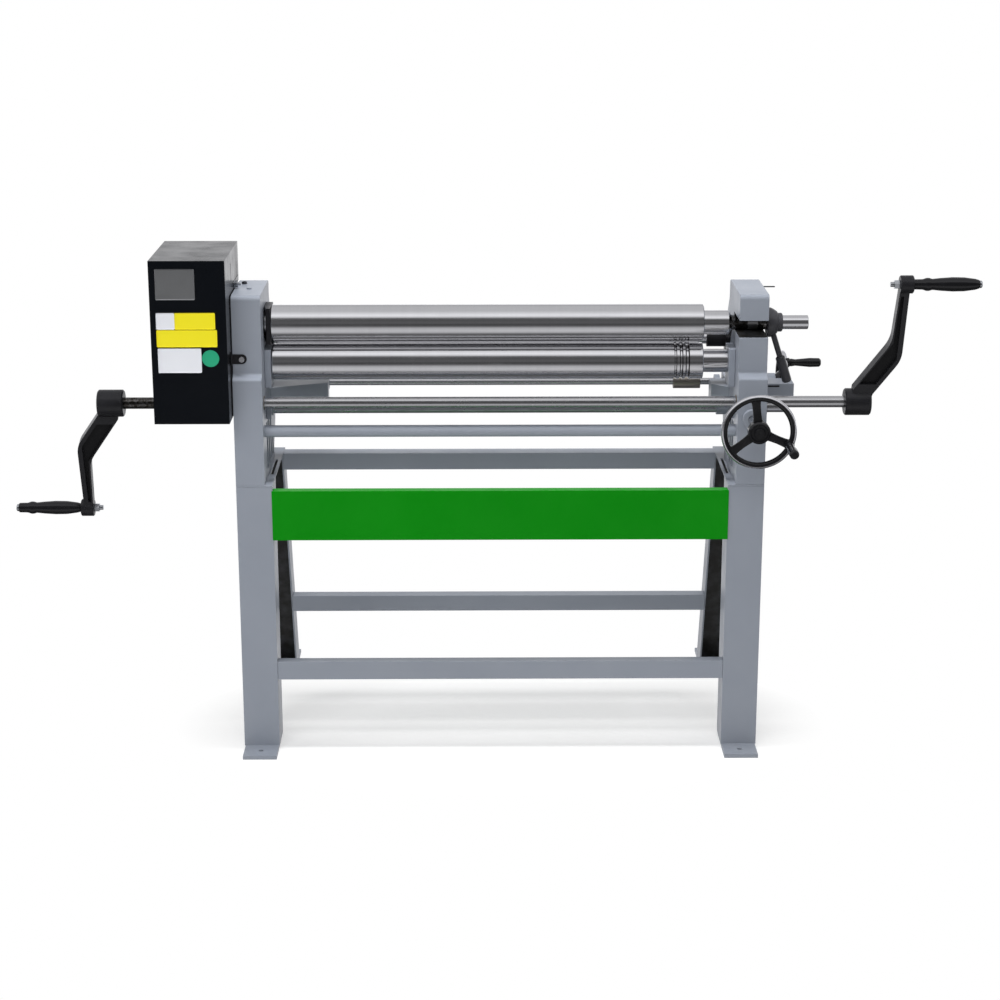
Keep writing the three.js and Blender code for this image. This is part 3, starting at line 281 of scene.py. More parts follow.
def turned_metal(name, rgb, roughness, pitch=900.0, relief=0.000004, stain=0.25, dark=0.6):
    """Bright metal ground or turned along X: fine lines round it, dull patches, a few dark stains, and a dark
    mix on marked faces that is a stain on some and painted shade on others.
    """
    material, w, shader = new_material(name)
    place = w.node("TexCoord").outputs["Object"]
    lines = group_node(w, "turning_lines", {"Pitch": pitch, "Spread": 8.0})
    stains = w.between(w.noise(place, 9.0, 6.0, 0.65, (0.5, 2, 2)), 0.55, 0.8)
    tone = w.mix(w.between(lines, 0.5, 1.1), shade(rgb, 0.96), shade(rgb, 1.02))
    dull = w.mix(w.maths("MULTIPLY", stains, stain), tone, shade(rgb, dark))
    # Marked faces get a dark mix: a real stain on the crank shaft, painted shade in the wire grooves, grease
    # and painted shade on the upper journal
    grease_and_shade = w.node("Attribute", attribute_name="grease_and_shade").outputs["Fac"]
    grease_and_shade_mask = w.maths("MULTIPLY", grease_and_shade, w.between(w.noise(place, 160.0, 4.0), 0.35, 0.6, 0.75, 1.0))
    w.put(shader.inputs["Base Color"], w.mix(grease_and_shade_mask, dull, GREASE_AND_SHADE_ON_STEEL))
    shader.inputs["Metallic"].default_value = 1.0
    drawn = w.noise(place, 18.0, 4.0, 0.6, (0.4, 1, 1))
    rough = w.between(drawn, 0.3, 0.7, roughness - 0.04, roughness + 0.06)
    w.put(shader.inputs["Roughness"], w.maths("ADD", rough, w.maths("MULTIPLY", stains, 0.12)))
    w.put(shader.inputs["Normal"], w.node("Bump", {"Height": lines, "Distance": relief, "Strength": 0.5}))
    return material


def plain_metal(name, rgb, roughness, stain=0.3, dark=0.5, relief=0.00005, grain=300.0):
    """Machined or plated metal with no one direction: fine grain, dull patches, rubbed edges brighter."""
    material, w, shader = new_material(name)
    place = w.node("TexCoord").outputs["Object"]
    patches = w.between(w.noise(place, 25.0, 5.0), 0.35, 0.75)
    tone = w.mix(w.maths("MULTIPLY", patches, stain), shade(rgb, 1), shade(rgb, dark))
    worn = group_node(w, "edge_wear", {"Amount": 0.5, "Grain": 150.0})
    w.put(shader.inputs["Base Color"], w.mix(worn, tone, shade(rgb, 1.5)))
    shader.inputs["Metallic"].default_value = 1.0
    w.put(shader.inputs["Roughness"], w.between(patches, 0.0, 1.0, roughness - 0.06, roughness + 0.1))
    height = group_node(w, "skin_relief", {"Peel": grain, "Waves": 80.0, "Share": 0.4})
    w.put(shader.inputs["Normal"], w.node("Bump", {"Height": height, "Distance": relief, "Strength": 0.5}))
    return material


def moulded(name, rgb, roughness, coat=0.0, peel=700.0, relief=0.00004, polished=(0.75, 0.75, 0.78),
            gloss=0.3):
    """Moulded or enamelled black with faint ripples and rubbed patches; painted shade on marked pocket
    floors; polished metal where marked.
    """
    material, w, shader = new_material(name)
    place = w.node("TexCoord").outputs["Object"]
    rubbed = w.between(w.noise(place, 30.0, 5.0), 0.35, 0.75)
    bright = w.node("Attribute", attribute_name="bright").outputs["Fac"]
    rough_black = w.mix(rubbed, shade(rgb, 1), shade(rgb, 1.4))
    # Painted shade: marked pocket floors are darkened and dulled
    pocket_shade = w.node("Attribute", attribute_name="pocket_shade").outputs["Fac"]
    black = w.mix(w.maths("MULTIPLY", pocket_shade, 0.6), rough_black, POCKET_SHADE_BLACK)
    w.put(shader.inputs["Base Color"], w.mix(bright, black, (*polished, 1)))
    dull = w.between(rubbed, 0.0, 1.0, roughness, roughness + 0.15)
    duller = w.maths("ADD", dull, w.maths("MULTIPLY", pocket_shade, 0.3))
    w.put(shader.inputs["Roughness"], w.between(bright, 0.0, 1.0, duller, 0.22))
    w.put(shader.inputs["Metallic"], bright)
    shader.inputs["Coat Weight"].default_value = coat
    shader.inputs["Specular IOR Level"].default_value = gloss
    height = group_node(w, "skin_relief", {"Peel": peel, "Waves": 90.0, "Share": 0.8})
    w.put(shader.inputs["Normal"], w.node("Bump", {"Height": height, "Distance": relief, "Strength": 0.5}))
    return material


MATERIALS = {}


def make_materials():
    s = bpy.context.scene.slip_roll_finishes
    GROUPS.update(edge_wear=wear_group(), grime=grime_group(), skin_relief=skin_group(),
                  turning_lines=lines_group())
    MATERIALS.update(
        grey_paint=paint("grey_paint", s.grey, 0.36),
        black_paint=paint("black_paint", s.black, 0.2, 650.0, 0.00005, 0.01, 0.06, (0.08, 0.08, 0.09), 0.14),
        green_paint=paint("green_paint", s.green, 0.35, 500.0, 0.00008, 0.02, 0.12, (0.2, 0.5, 0.22), 0.12),
        ground_steel=turned_metal("ground_steel", s.roll_steel, 0.14, stain=0.12),
        shaft_steel=turned_metal("shaft_steel", shade(s.roll_steel, 0.8), 0.24, 700.0, 0.000006, 0.2, 0.6),
        coupling_steel=turned_metal("coupling_steel", (0.36, 0.33, 0.29), 0.34, 500.0, 0.00001, 0.5, 0.5),
        dark_steel=plain_metal("dark_steel", (0.1, 0.1, 0.11), 0.42),
        pale_steel=plain_metal("pale_steel", (0.55, 0.56, 0.6), 0.32),
        black_cast=moulded("black_cast", s.crank_black, 0.3, 0.0, 420.0, 0.0002),
        black_plastic=moulded("black_plastic", shade(s.crank_black, 0.6), 0.16, 0.15),
        satin_grey=moulded("satin_grey", linear((56, 56, 60)), 0.36, gloss=0.5),
        # Black rubber, also used as painted shade for the bracket's slot, the cover's slit and the gap along
        # the housing
        rubber=moulded("rubber", linear((12, 12, 13)), 0.6),
        zinc=plain_metal("zinc", (0.55, 0.57, 0.6), 0.3, 0.4, 0.6),
        bronze=plain_metal("bronze", (0.2, 0.13, 0.06), 0.4),
        blank_silver=plain_metal("blank_silver", (0.5, 0.51, 0.52), 0.36, 0.25, 0.7, 0.00002),
        blank_white=paint("blank_white", linear((226, 228, 234)), 0.32, 800.0, 0.00003, 0.05, 0.1),
        blank_yellow=paint("blank_yellow", linear((240, 226, 16)), 0.32, 800.0, 0.00003, 0.05, 0.1),
        blank_green=paint("blank_green", linear((28, 160, 118)), 0.32, 800.0, 0.00003, 0.05, 0.1),
    )


# Modelling helpers


def clear_selection():
    if bpy.context.object and bpy.context.object.mode != "OBJECT":
        bpy.ops.object.mode_set(mode="OBJECT")
    bpy.ops.object.select_all(action="DESELECT")


def only(piece):
    clear_selection()
    piece.select_set(True)
    bpy.context.view_layer.objects.active = piece


def apply_modifier(piece, kind, **settings):
    only(piece)
    modifier = piece.modifiers.new(kind.title(), kind)
    for key, value in settings.items():
        setattr(modifier, key, value)
    bpy.ops.object.modifier_apply(modifier=modifier.name)


def mark_faces(piece, label, test):
    """Writes 1 on the faces that pass a test and 0 on the rest."""
    marks = piece.data.attributes.get(label) or piece.data.attributes.new(label, "FLOAT", "FACE")
    for face, mark in zip(piece.data.polygons, marks.data):
        mark.value = 1.0 if test(face) else 0.0


def soften(piece, width, segments=3, angle=30.0, smooth=35.0):
    """Rounds the edges, marks the new faces for wear and shades the rest smooth."""
    piece.data.materials.clear()
    piece.data.materials.append(None)
    piece.data.materials.append(None)
    apply_modifier(piece, "BEVEL", width=width, segments=segments, limit_method="ANGLE", material=1,
                   angle_limit=math.radians(angle), use_clamp_overlap=True, harden_normals=False)
    mark_faces(piece, "edge", lambda face: face.material_index == 1)
    for face in piece.data.polygons:
        face.material_index = 0
    only(piece)
    bpy.ops.object.shade_smooth_by_angle(angle=math.radians(smooth))
    apply_modifier(piece, "WEIGHTED_NORMAL", keep_sharp=True, weight=80)


def finish(piece, name, body, slot, material=None, nodes=()):
    """Names a finished piece, puts its place into its mesh, gives it its finish and sets it on its body."""
    only(piece)
    bpy.ops.object.transform_apply(location=True, rotation=True, scale=True)
    piece.name = name
    piece.data.name = name
    piece.data.materials.clear()
    piece.data.materials.append(MATERIALS[material or slot])
    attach(piece, body)
    if nodes:
        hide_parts(*nodes)
    clear_selection()
    return piece


def body_of_node(node):
    bodies = frame["record"]["behaviour"]["bodies"]
    return next(body for body, nodes in bodies.items() if node in nodes)


def slot_of_node(node):
    return next(s["material_slot"] for s in frame["record"]["subparts"] if s["node"] == node)


def dressed(node, width, material=None, segments=3, angle=30.0, smooth=35.0, reshape=None):
    """A piece with the solid's own shape, its facets merged and its edges rounded."""
    source = frame["nodes"][node]
    piece = source.copy()
    piece.data = source.data.copy()
    piece.parent = None
    for key in list(piece.keys()):
        if key.startswith("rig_"):
            del piece[key]
    bpy.context.scene.collection.objects.link(piece)
    piece.hide_render = False
    piece.hide_viewport = False
    only(piece)
    bpy.ops.object.mode_set(mode="EDIT")
    bpy.ops.mesh.select_all(action="SELECT")
    bpy.ops.mesh.remove_doubles(threshold=0.00002)
    bpy.ops.mesh.dissolve_limited(angle_limit=math.radians(0.5))
    bpy.ops.object.mode_set(mode="OBJECT")
    if reshape:
        reshape(piece)
    soften(piece, width, segments, angle, smooth)
    return finish(piece, "dressed_" + node, body_of_node(node), slot_of_node(node), material, (node,))


def turned(profile, steps=96):
    """A piece turned about the X axis: profile is (x, radius) pairs."""
    clear_selection()
    bpy.ops.mesh.primitive_plane_add(size=0.001, location=(0, 0, 0))
    piece = bpy.context.object
    bpy.ops.object.mode_set(mode="EDIT")
    bpy.ops.mesh.select_mode(type="VERT")
    bpy.ops.mesh.select_all(action="SELECT")
    bpy.ops.mesh.merge(type="CENTER")
    bpy.ops.transform.translate(value=(profile[0][0], 0, profile[0][1]))
    for (x0, r0), (x1, r1) in pairwise(profile):
        bpy.ops.mesh.extrude_region_move(TRANSFORM_OT_translate={"value": (x1 - x0, 0, r1 - r0)})
    bpy.ops.mesh.select_all(action="SELECT")
    bpy.ops.mesh.spin(steps=steps, angle=2 * math.pi, center=(0, 0, 0), axis=(1, 0, 0))
    bpy.ops.mesh.select_all(action="SELECT")
    bpy.ops.mesh.remove_doubles(threshold=0.000005)
    bpy.ops.mesh.normals_make_consistent(inside=False)
    bpy.ops.object.mode_set(mode="OBJECT")
    return piece


def moved(piece, turn=0.0, axis="Z", place=(0, 0, 0)):
    """Turns a piece about the frame's origin and then carries it to its place."""
    only(piece)
    if turn:
        bpy.ops.transform.rotate(value=-turn, orient_axis=axis, orient_type="GLOBAL",
                                 center_override=(0, 0, 0))
    bpy.ops.transform.translate(value=place)
    bpy.ops.object.transform_apply(location=True, rotation=True, scale=True)
    return piece


def joined(pieces):
    clear_selection()
    for piece in pieces:
        piece.select_set(True)
    bpy.context.view_layer.objects.active = pieces[0]
    bpy.ops.object.join()
    return pieces[0]


def round_lines(node, centre, along):
    """The lines along a round solid's side, as (start, radius, end, radius), from one row of its corners."""
    mesh = frame["nodes"][node].data
    length, u, v = (0, 1, 2) if along == "X" else (1, 0, 2)
    spots = []
    for corner in mesh.vertices:
        du, dv = corner.co[u] - centre[0], corner.co[v] - centre[1]
        spots.append((corner.co[length], math.hypot(du, dv), math.atan2(dv, du)))
    row = max(spots, key=lambda spot: round(spot[1], 5))[2]
    in_row = [abs(math.remainder(spot[2] - row, math.tau)) < 0.004 for spot in spots]
    lines = set()
    for edge in mesh.edges:
        if not all(in_row[i] for i in edge.vertices):
            continue
        a, b = sorted(spots[i] for i in edge.vertices)
        if b[0] - a[0] > 1e-6:
            lines.add(tuple(round(value, 6) for value in (*a[:2], *b[:2])))
    return sorted(lines)


def round_profile(node, centre, along="X", bore=0.0, blind=None):
    """The profile of a round solid, closed at the axis or along its bore, which may end blind."""
    outer = []
    for x0, r0, x1, r1 in round_lines(node, centre, along):
        if max(r0, r1) > bore + 0.0002:
            outer += [(x0, r0), (x1, r1)]
    if not outer:
        raise ValueError(f"no profile found on {node}")
    points = [outer[0]] + [b for a, b in pairwise(outer) if math.dist(a, b) > 2e-6]
    start, end = points[0][0], points[-1][0]
    if not bore:
        return [(start, 0), *points, (end, 0)]
    if blind is not None and blind - start > end - blind:
        return [(blind, 0), (blind, bore), (start, bore), *points, (end, 0)]
    if blind is not None:
        return [(start, 0), *points, (end, bore), (blind, bore), (blind, 0)]
    return [(start, bore), *points, (end, bore), (start, bore)]


def spun(node, centre, width, material=None, along="X", bore=0.0, blind=None, steps=96, angle=30.0,
         reshape=None):
    """A round piece turned anew from the solid's own profile, finer than its facets."""
    profile = round_profile(node, centre, along, bore, blind)
    piece = turned(reshape(profile) if reshape else profile, steps)
    if along == "Y":
        moved(piece, math.pi / 2, "Z")
        place = (centre[0], 0, centre[1])
    else:
        place = (0, *centre)
    moved(piece, place=place)
    soften(piece, width, 2, angle)
    return finish(piece, "turned_" + node, body_of_node(node), slot_of_node(node), material, (node,))


def joint_place(child):
    return next(j["pos_m"] for j in frame["record"]["behaviour"]["joints"] if j["child"] == child)


def bar(x0, x1, y0, y1, z0, z1, edge):
    """A straight bar between six places, with rounded edges."""
    clear_selection()
    bpy.ops.mesh.primitive_cube_add(size=1, location=((x0 + x1) / 2, (y0 + y1) / 2, (z0 + z1) / 2))
    piece = bpy.context.object
    bpy.ops.transform.resize(value=(x1 - x0, y1 - y0, z1 - z0))
    bpy.ops.object.transform_apply(location=True, rotation=True, scale=True)
    soften(piece, edge, 2)
    return piece


def spoke(root, tip, half_width, half_thickness, flare):
    """A wheel spoke along +Y, waisted in the middle and bedded into hub and rim."""
    clear_selection()
    bpy.ops.mesh.primitive_cube_add(size=1, location=(0, (root + tip) / 2, 0))
    piece = bpy.context.object
    bpy.ops.transform.resize(value=(2 * half_thickness, tip - root, 2 * half_width))
    bpy.ops.object.transform_apply(location=True, rotation=True, scale=True)
    apply_modifier(piece, "SUBSURF", subdivision_type="SIMPLE", levels=2, render_levels=2)
    middle, half = (root + tip) / 2, (tip - root) / 2
    for corner in piece.data.vertices:
        share = ((corner.co.y - middle) / half) ** 2
        corner.co.z *= 1 + flare * share
        corner.co.x *= 1 + 0.4 * flare * share
    soften(piece, half_thickness * 0.5, 3, 40.0, 60.0)
    return piece


# Settings

# The floor's own light for the camera, the room's light from low behind to high in front, and the
# share of what it mirrors that the steel gives back
FLOOR_GLOW = 0.38
ROOM_LOW = 0.03
ROOM_HIGH = 0.36
STEEL_SHARE = 0.72

# Where the floor keeps the shadow: its middle and shape, and where it begins and ends to fade to white
SHADOW_SHIFT = (-0.05, 0.13, 0)
SHADOW_SHAPE = (1.25, 2.2, 1)
SHADOW_FADE = (0.72, 1.05)
FLOOR_TONES = ((0.78, 0.78, 0.78, 1), (0.8, 0.8, 0.8, 1))

# The lamps: name, place, what it is turned to, width, height and share of the key light's power
LAMP_AIM = (MIDDLE_X, 0, 0.8)
LAMPS = (
    ("key", (-0.8, -3.2, 3.0), LAMP_AIM, 3.2, 1.6, 1.0),
    ("low", (0.3, -4.0, 1.2), LAMP_AIM, 3.0, 0.8, 0.18),
    ("side", (-4.0, -1.2, 1.8), LAMP_AIM, 1.4, 2.0, 0.5),
    ("top", (MIDDLE_X, -0.3, 4.0), (MIDDLE_X, -0.3, 0), 2.2, 0.6, 1.7),
)

# What the polished steel mirrors, as (angle up from straight ahead in degrees, grey of the steel there)
STUDIO_BANDS = (
    (-180, 235), (-162, 225), (-148, 120), (-130, 60), (-115, 45), (-102, 90), (-80, 62), (-62, 95),
    (-51, 168), (-40, 184), (-22, 164), (-12, 92), (-3, 58), (10, 84), (30, 72), (40, 98), (47, 195),
    (58, 230), (72, 206), (88, 178), (130, 174), (152, 158), (161, 165), (167, 228), (180, 235),
)


class Finishes(bpy.types.PropertyGroup):
    grey: bpy.props.FloatVectorProperty(
        name="Frame paint", description="Grey of the castings, legs and rails", subtype="COLOR", size=3,
        min=0, max=1, default=linear((140, 146, 157)))
    black: bpy.props.FloatVectorProperty(
        name="Cover paint", description="Black of the gear cover", subtype="COLOR", size=3,
        min=0, max=1, default=linear((9, 12, 17)))
    green: bpy.props.FloatVectorProperty(
        name="Panel paint", description="Green of the front panel", subtype="COLOR", size=3,
        min=0, max=1, default=linear((0, 132, 4)))
    roll_steel: bpy.props.FloatVectorProperty(
        name="Roll steel", description="Ground steel of the rolls", subtype="COLOR", size=3,
        min=0, max=1, default=(0.72, 0.72, 0.74))
    crank_black: bpy.props.FloatVectorProperty(
        name="Crank black", description="Black of the cranks and handwheels", subtype="COLOR", size=3,
        min=0, max=1, default=linear((25, 25, 28)))


class StageSettings(bpy.types.PropertyGroup):
    lens: bpy.props.FloatProperty(
        name="Lens", description="Focal length of the camera on a 36 mm sensor, in millimetres",
        min=20, max=200, default=78.84)
    distance: bpy.props.FloatProperty(
        name="Distance", description="From the upper roll's axis to the camera, along the floor",
        subtype="DISTANCE", unit="LENGTH", min=1, max=20, default=5.25)
    height: bpy.props.FloatProperty(
        name="Height", description="Camera height over the floor", subtype="DISTANCE", unit="LENGTH",
        min=0, max=10, default=2.1205)
    pitch: bpy.props.FloatProperty(
        name="Pitch", description="How far the camera looks down", subtype="ANGLE", unit="ROTATION",
        min=0, max=math.pi / 2, default=math.radians(15.986))
    turn: bpy.props.FloatProperty(
        name="Turn", description="How far the machine is turned from straight on", subtype="ANGLE",
        unit="ROTATION", min=-math.pi, max=math.pi, default=math.radians(0.537))
    key_power: bpy.props.FloatProperty(
        name="Key light", description="Power of the large lamp over the front, in watts", subtype="POWER",
        min=0, max=5000, default=60)


# Operators


class SLIPROLL_OT_stage(bpy.types.Operator):
    """Adds the floor, the lamps, the background and the camera"""
    bl_idname = "sliproll.stage"
    bl_label = "Stage"

    def execute(self, context):
        s = context.scene.slip_roll_stage
        clear_selection()
        add_floor()
        add_world(context.scene)
        add_lamps(s)
        add_camera(context.scene, s)
        context.scene.view_settings.view_transform = "Standard"
        return {"FINISHED"}


def add_floor():
    """A pale floor that keeps the machine's shadow near it and fades to white farther out."""
    bpy.ops.mesh.primitive_plane_add(size=40, location=(0, 8, -0.0005))
    floor = bpy.context.object
    floor.name = "floor"
    bpy.ops.object.transform_apply(location=True)
    floor.visible_glossy = False
    material = bpy.data.materials.new("pale_floor")
    material.use_nodes = True
    w = Wiring(material.node_tree)
    material.node_tree.nodes.clear()
    camera_ray = w.node("LightPath").outputs["Is Camera Ray"]
    place = w.node("TexCoord").outputs["Object"]
    tone = w.mix(w.noise(place, 2.0, 3.0), *FLOOR_TONES)
    matt = w.node("BsdfDiffuse", {"Color": tone})
    strength = w.maths("MULTIPLY", camera_ray, FLOOR_GLOW)
    glow = w.node("Emission", {"Color": (1, 1, 1, 1), "Strength": strength})
    near = w.node("AddShader")
    w.put(near.inputs[0], matt)
    w.put(near.inputs[1], glow)
    white = w.node("Emission", {"Color": (1, 1, 1, 1), "Strength": 1.0})
    under = w.node("Mapping", {"Vector": place, "Location": SHADOW_SHIFT, "Scale": SHADOW_SHAPE})
    spread = w.node("VectorMath", {"Vector": under}, operation="LENGTH").outputs["Value"]
    fade = w.maths("MULTIPLY", w.between(spread, *SHADOW_FADE), camera_ray)
    both = w.node("MixShader", {"Fac": fade})
    w.put(both.inputs[1], near)
    w.put(both.inputs[2], white)
    w.put(w.node("OutputMaterial").inputs["Surface"], both)
    floor.data.materials.append(material)


def add_world(scene):
    """The studio: white to the camera, even light for the paint, soft panels and dark gaps for the steel."""
    world = bpy.data.worlds.new("studio")
    world.use_nodes = True
    world.node_tree.nodes.clear()
    w = Wiring(world.node_tree)
    rays = w.node("LightPath")
    place = w.node("SeparateXYZ", {"Vector": w.node("TexCoord").outputs["Generated"]})
    ahead = w.maths("MULTIPLY", place.outputs["Y"], -1.0)
    turn = w.maths("ARCTAN2", place.outputs["Z"], ahead)
    bands = w.node("ValToRGB", {"Fac": w.between(turn, -math.pi, math.pi)})
    ramp = bands.color_ramp
    places = [(angle / 360 + 0.5, linear((grey,) * 3)[0] / STEEL_SHARE) for angle, grey in STUDIO_BANDS]
    ramp.elements[0].position, ramp.elements[1].position = places[0][0], places[-1][0]
    for position, _ in places[1:-1]:
        ramp.elements.new(position)
    for element, (_, level) in zip(ramp.elements, places):
        element.color = (level, level, level * 1.02, 1)
    forward = w.maths("ADD", place.outputs["Z"], ahead)
    room = w.between(forward, -1.4, 1.4, ROOM_LOW, ROOM_HIGH)
    around = w.mix(rays.outputs["Is Glossy Ray"], room, bands.outputs["Color"])
    light = w.mix(rays.outputs["Is Camera Ray"], around, (1, 1, 1, 1))
    background = w.node("Background", {"Color": light, "Strength": 1.0})
    w.put(w.node("OutputWorld").inputs["Surface"], background)
    scene.world = world


def add_lamp(name, place, aim, width, height, power):
    data = bpy.data.lights.new(name, "AREA")
    data.shape = "RECTANGLE"
    data.size = width
    data.size_y = height
    data.energy = power
    lamp = bpy.data.objects.new(name, data)
    bpy.context.scene.collection.objects.link(lamp)
    lamp.location = place
    lamp.rotation_euler = (Vector(aim) - Vector(place)).to_track_quat("-Z", "Y").to_euler()
    lamp.visible_glossy = False


def add_lamps(s):
    for name, place, aim, width, height, share in LAMPS:
        add_lamp(name, place, aim, width, height, s.key_power * share)


def add_camera(scene, s):
    data = bpy.data.cameras.new("camera")
    data.lens = s.lens
    data.sensor_width = 36
    data.clip_end = 100
    camera = bpy.data.objects.new("camera", data)
    scene.collection.objects.link(camera)
    turn = Matrix.Rotation(-s.turn, 4, "Z")
    camera.location = Vector((MIDDLE_X, ROLL_Y, 0)) + turn @ Vector((0, -s.distance, s.height))
    camera.rotation_euler = (math.pi / 2 - s.pitch, 0, -s.turn)
    scene.camera = camera


class SLIPROLL_OT_rolls(bpy.types.Operator):
    """Turns the three rolls with their journals and wire grooves"""
    bl_idname = "sliproll.rolls"
    bl_label = "Rolls"

    def execute(self, context):
        spun("rear_roll", REAR_AXIS, ROLL_EDGE, "ground_steel")
        lower = spun("lower_roll", LOWER_AXIS, ROLL_EDGE, "ground_steel", reshape=wire_grooves)
        # The wire grooves' walls are darkened: painted shade
        mark_faces(lower, "grease_and_shade", in_wire_groove)
        upper = spun("upper_roll", UPPER_AXIS, ROLL_EDGE, "ground_steel", reshape=bearing_seat)
        # The journal beside its seat gets grease and painted shade inside the casting's opening
        mark_faces(upper, "grease_and_shade", in_darkened_journal)
        return {"FINISHED"}


# Where the upper roll's journal stays bright in its bearing, and the stretch on both sides that is darkened
# as grease and painted shade
SEAT = (0.6406, 0.665)
SEAT_RISE = 0.0003
DARKENED_JOURNAL = (0.603, 0.6875)

# The lower roll's end with the solid's grooves, how far they are shifted, and where they then lie
GROOVED_END = (0.4815, 0.52)
GROOVE_SHIFT = 0.0195
GROOVES = (0.46, 0.502)
GROOVE_RIM = 0.0449


def wire_grooves(profile):
    """The lower roll's profile with its grooves as far in from the roll's end as they are seen."""
    start, end = GROOVED_END
    return [(x - GROOVE_SHIFT if start < x < end else x, r) for x, r in profile]


# Whether a face is a wall of a wire groove, which is darkened as painted shade
def in_wire_groove(face):
    depth = math.hypot(face.center.y - LOWER_AXIS[0], face.center.z - LOWER_AXIS[1])
    wall = abs(face.normal.x) > 0.3 and depth < GROOVE_RIM
    return GROOVES[0] < face.center.x < GROOVES[1] and wall


def bearing_seat(profile):
    """The upper roll's profile with a low collar where its journal runs in the right bearing."""
    after = next(i for i, (x, _) in enumerate(profile) if x > SEAT[1])
    r = profile[after][1]
    seat = [(SEAT[0], r), (SEAT[0], r + SEAT_RISE), (SEAT[1], r + SEAT_RISE), (SEAT[1], r)]
    return profile[:after] + seat + profile[after:]


def in_darkened_journal(face):
    x = face.center.x
    return DARKENED_JOURNAL[0] < x < DARKENED_JOURNAL[1] and not SEAT[0] - 0.0005 < x < SEAT[1] + 0.0005


# The opening in the castings round the upper roll's end, from front to back and from bottom to top
OPENING_Y = (-0.216, -0.07)
OPENING_Z = (1.044, 1.0905)


def in_bearing_opening(face):
    """Whether a casting's face lies in the opening round the upper roll's end, darkened black as grease and
    painted shade.
    """
    inside_y = OPENING_Y[0] < face.center.y < OPENING_Y[1]
    inside_z = OPENING_Z[0] < face.center.z < OPENING_Z[1]
    return inside_y and inside_z and abs(face.normal.x) < 0.5


class SLIPROLL_OT_castings(bpy.types.Operator):
    """Dresses the cast side frames, bearings and brackets"""
    bl_idname = "sliproll.castings"
    bl_label = "Castings"

    def execute(self, context):
        for node in ("left_side_frame", "right_side_frame"):
            casting = dressed(node, CAST_EDGE)
            # The opening round the upper roll's end gets grease and painted shade
            mark_faces(casting, "grease_and_shade", in_bearing_opening)
        for node in ("left_lower_bearing", "right_lower_bearing", "left_screw_box", "right_screw_box",
                     "left_pinch_bracket", "right_pinch_bracket", "left_shaft_bracket", "right_shaft_bracket",
                     "outer_shaft_bracket"):
            dressed(node, BLOCK_EDGE)
        for node in ("left_rear_bearing", "right_rear_bearing", "swing_bearing"):
            dressed(node, BLOCK_EDGE, "black_cast")
        # A thin black strip on the bracket's front is the slot's painted shade
        slot = bar(*BRACKET_SLOT, HAIR_EDGE)
        finish(slot, "bracket_slot_shade", "stand", "grey_paint", "rubber")
        spun("spindle_flange", SPINDLE_AXIS, BLOCK_EDGE, along="Y", bore=FLANGE_BORE)
        return {"FINISHED"}


# A dark strip, painted shade standing for the slot in the outer bracket's front, as (left, right, front,
# back, bottom, top)
BRACKET_SLOT = (0.7125, 0.7415, -0.0075, -0.0069, 0.8775, 0.8815)


class SLIPROLL_OT_stand(bpy.types.Operator):
    """Dresses the legs, rails, panel and tie bar"""
    bl_idname = "sliproll.stand"
    bl_label = "Stand"

    def execute(self, context):
        for side in ("left", "right"):
            dressed(f"{side}_front_leg", LEG_EDGE)
            leg = dressed(f"{side}_rear_leg", LEG_EDGE)
            # The inside of the rear leg's channel is darkened: painted shade
            mark_faces(leg, "grease_and_shade", in_channel(leg))
            dressed(f"{side}_top_plate", SHEET_EDGE)
        for node in ("front_lower_rail", "rear_lower_rail", "rear_top_rail"):
            dressed(node, BLOCK_EDGE)
        dressed("front_panel", SHEET_EDGE)
        spun("tie_bar", TIE_AXIS, SHEET_EDGE)
        return {"FINISHED"}


# The thickness left out at a channel's lips, and the least area of its walls and web, in square metres
CHANNEL_LIP = 0.002
CHANNEL_FACE = 0.004


def in_channel(leg):
    """A test for the faces inside a rear leg's folded channel, which are darkened as painted shade."""
    xs = [corner.co.x for corner in leg.data.vertices]
    inner, outer = min(xs) + CHANNEL_LIP, max(xs) - CHANNEL_LIP

    def test(face):
        web = face.normal.y < -0.9 and face.normal.z < -0.3 and face.area > CHANNEL_FACE
        wall = abs(face.normal.x) > 0.9 and face.area > CHANNEL_FACE
        return (web or wall) and inner < face.center.x < outer
    return test


class SLIPROLL_OT_drive(bpy.types.Operator):
    """Turns the shafts and dresses the gears, bushes and screws"""
    bl_idname = "sliproll.drive"
    bl_label = "Drive"

    def execute(self, context):
        shaft = spun("crank_shaft", CRANK_AXIS, CRANK_SHAFT_EDGE, "shaft_steel", reshape=split_at_cover)
        mark_faces(shaft, "grease_and_shade", lambda face: face.center.x < COVER_LEFT)
        spun("rear_shaft", REAR_SHAFT_AXIS, FINE_EDGE, "shaft_steel")
        spun("front_spindle", SPINDLE_AXIS, FINE_EDGE, "shaft_steel", along="Y")
        spun("pinch_shaft", PINCH_AXIS, FINE_EDGE, "pale_steel")
        spun("pinch_collar", PINCH_AXIS, SHEET_EDGE, bore=COLLAR_BORE)
        spun("shaft_coupling", REAR_SHAFT_AXIS, SHEET_EDGE, "coupling_steel", bore=COUPLING_BORE)
        for node in ("left_rear_screw", "right_rear_screw", "upper_roll_gear", "lower_roll_gear",
                     "drive_wheel", "crank_pinion", "lower_trunnion_pin", "upper_gear_bush",
                     "left_crank_bush", "right_crank_bush"):
            dressed(node, FINE_EDGE)
        dressed("upper_trunnion_pin", FINE_EDGE, "grey_paint")
        return {"FINISHED"}


# The cover's left side, where the crank shaft enters it
COVER_LEFT = -0.787


def split_at_cover(profile):
    """The crank shaft's profile with one more ring where it enters the cover and begins to be stained."""
    after = next(i for i, (x, _) in enumerate(profile) if x > COVER_LEFT)
    return profile[:after] + [(COVER_LEFT, profile[after][1])] + profile[after:]


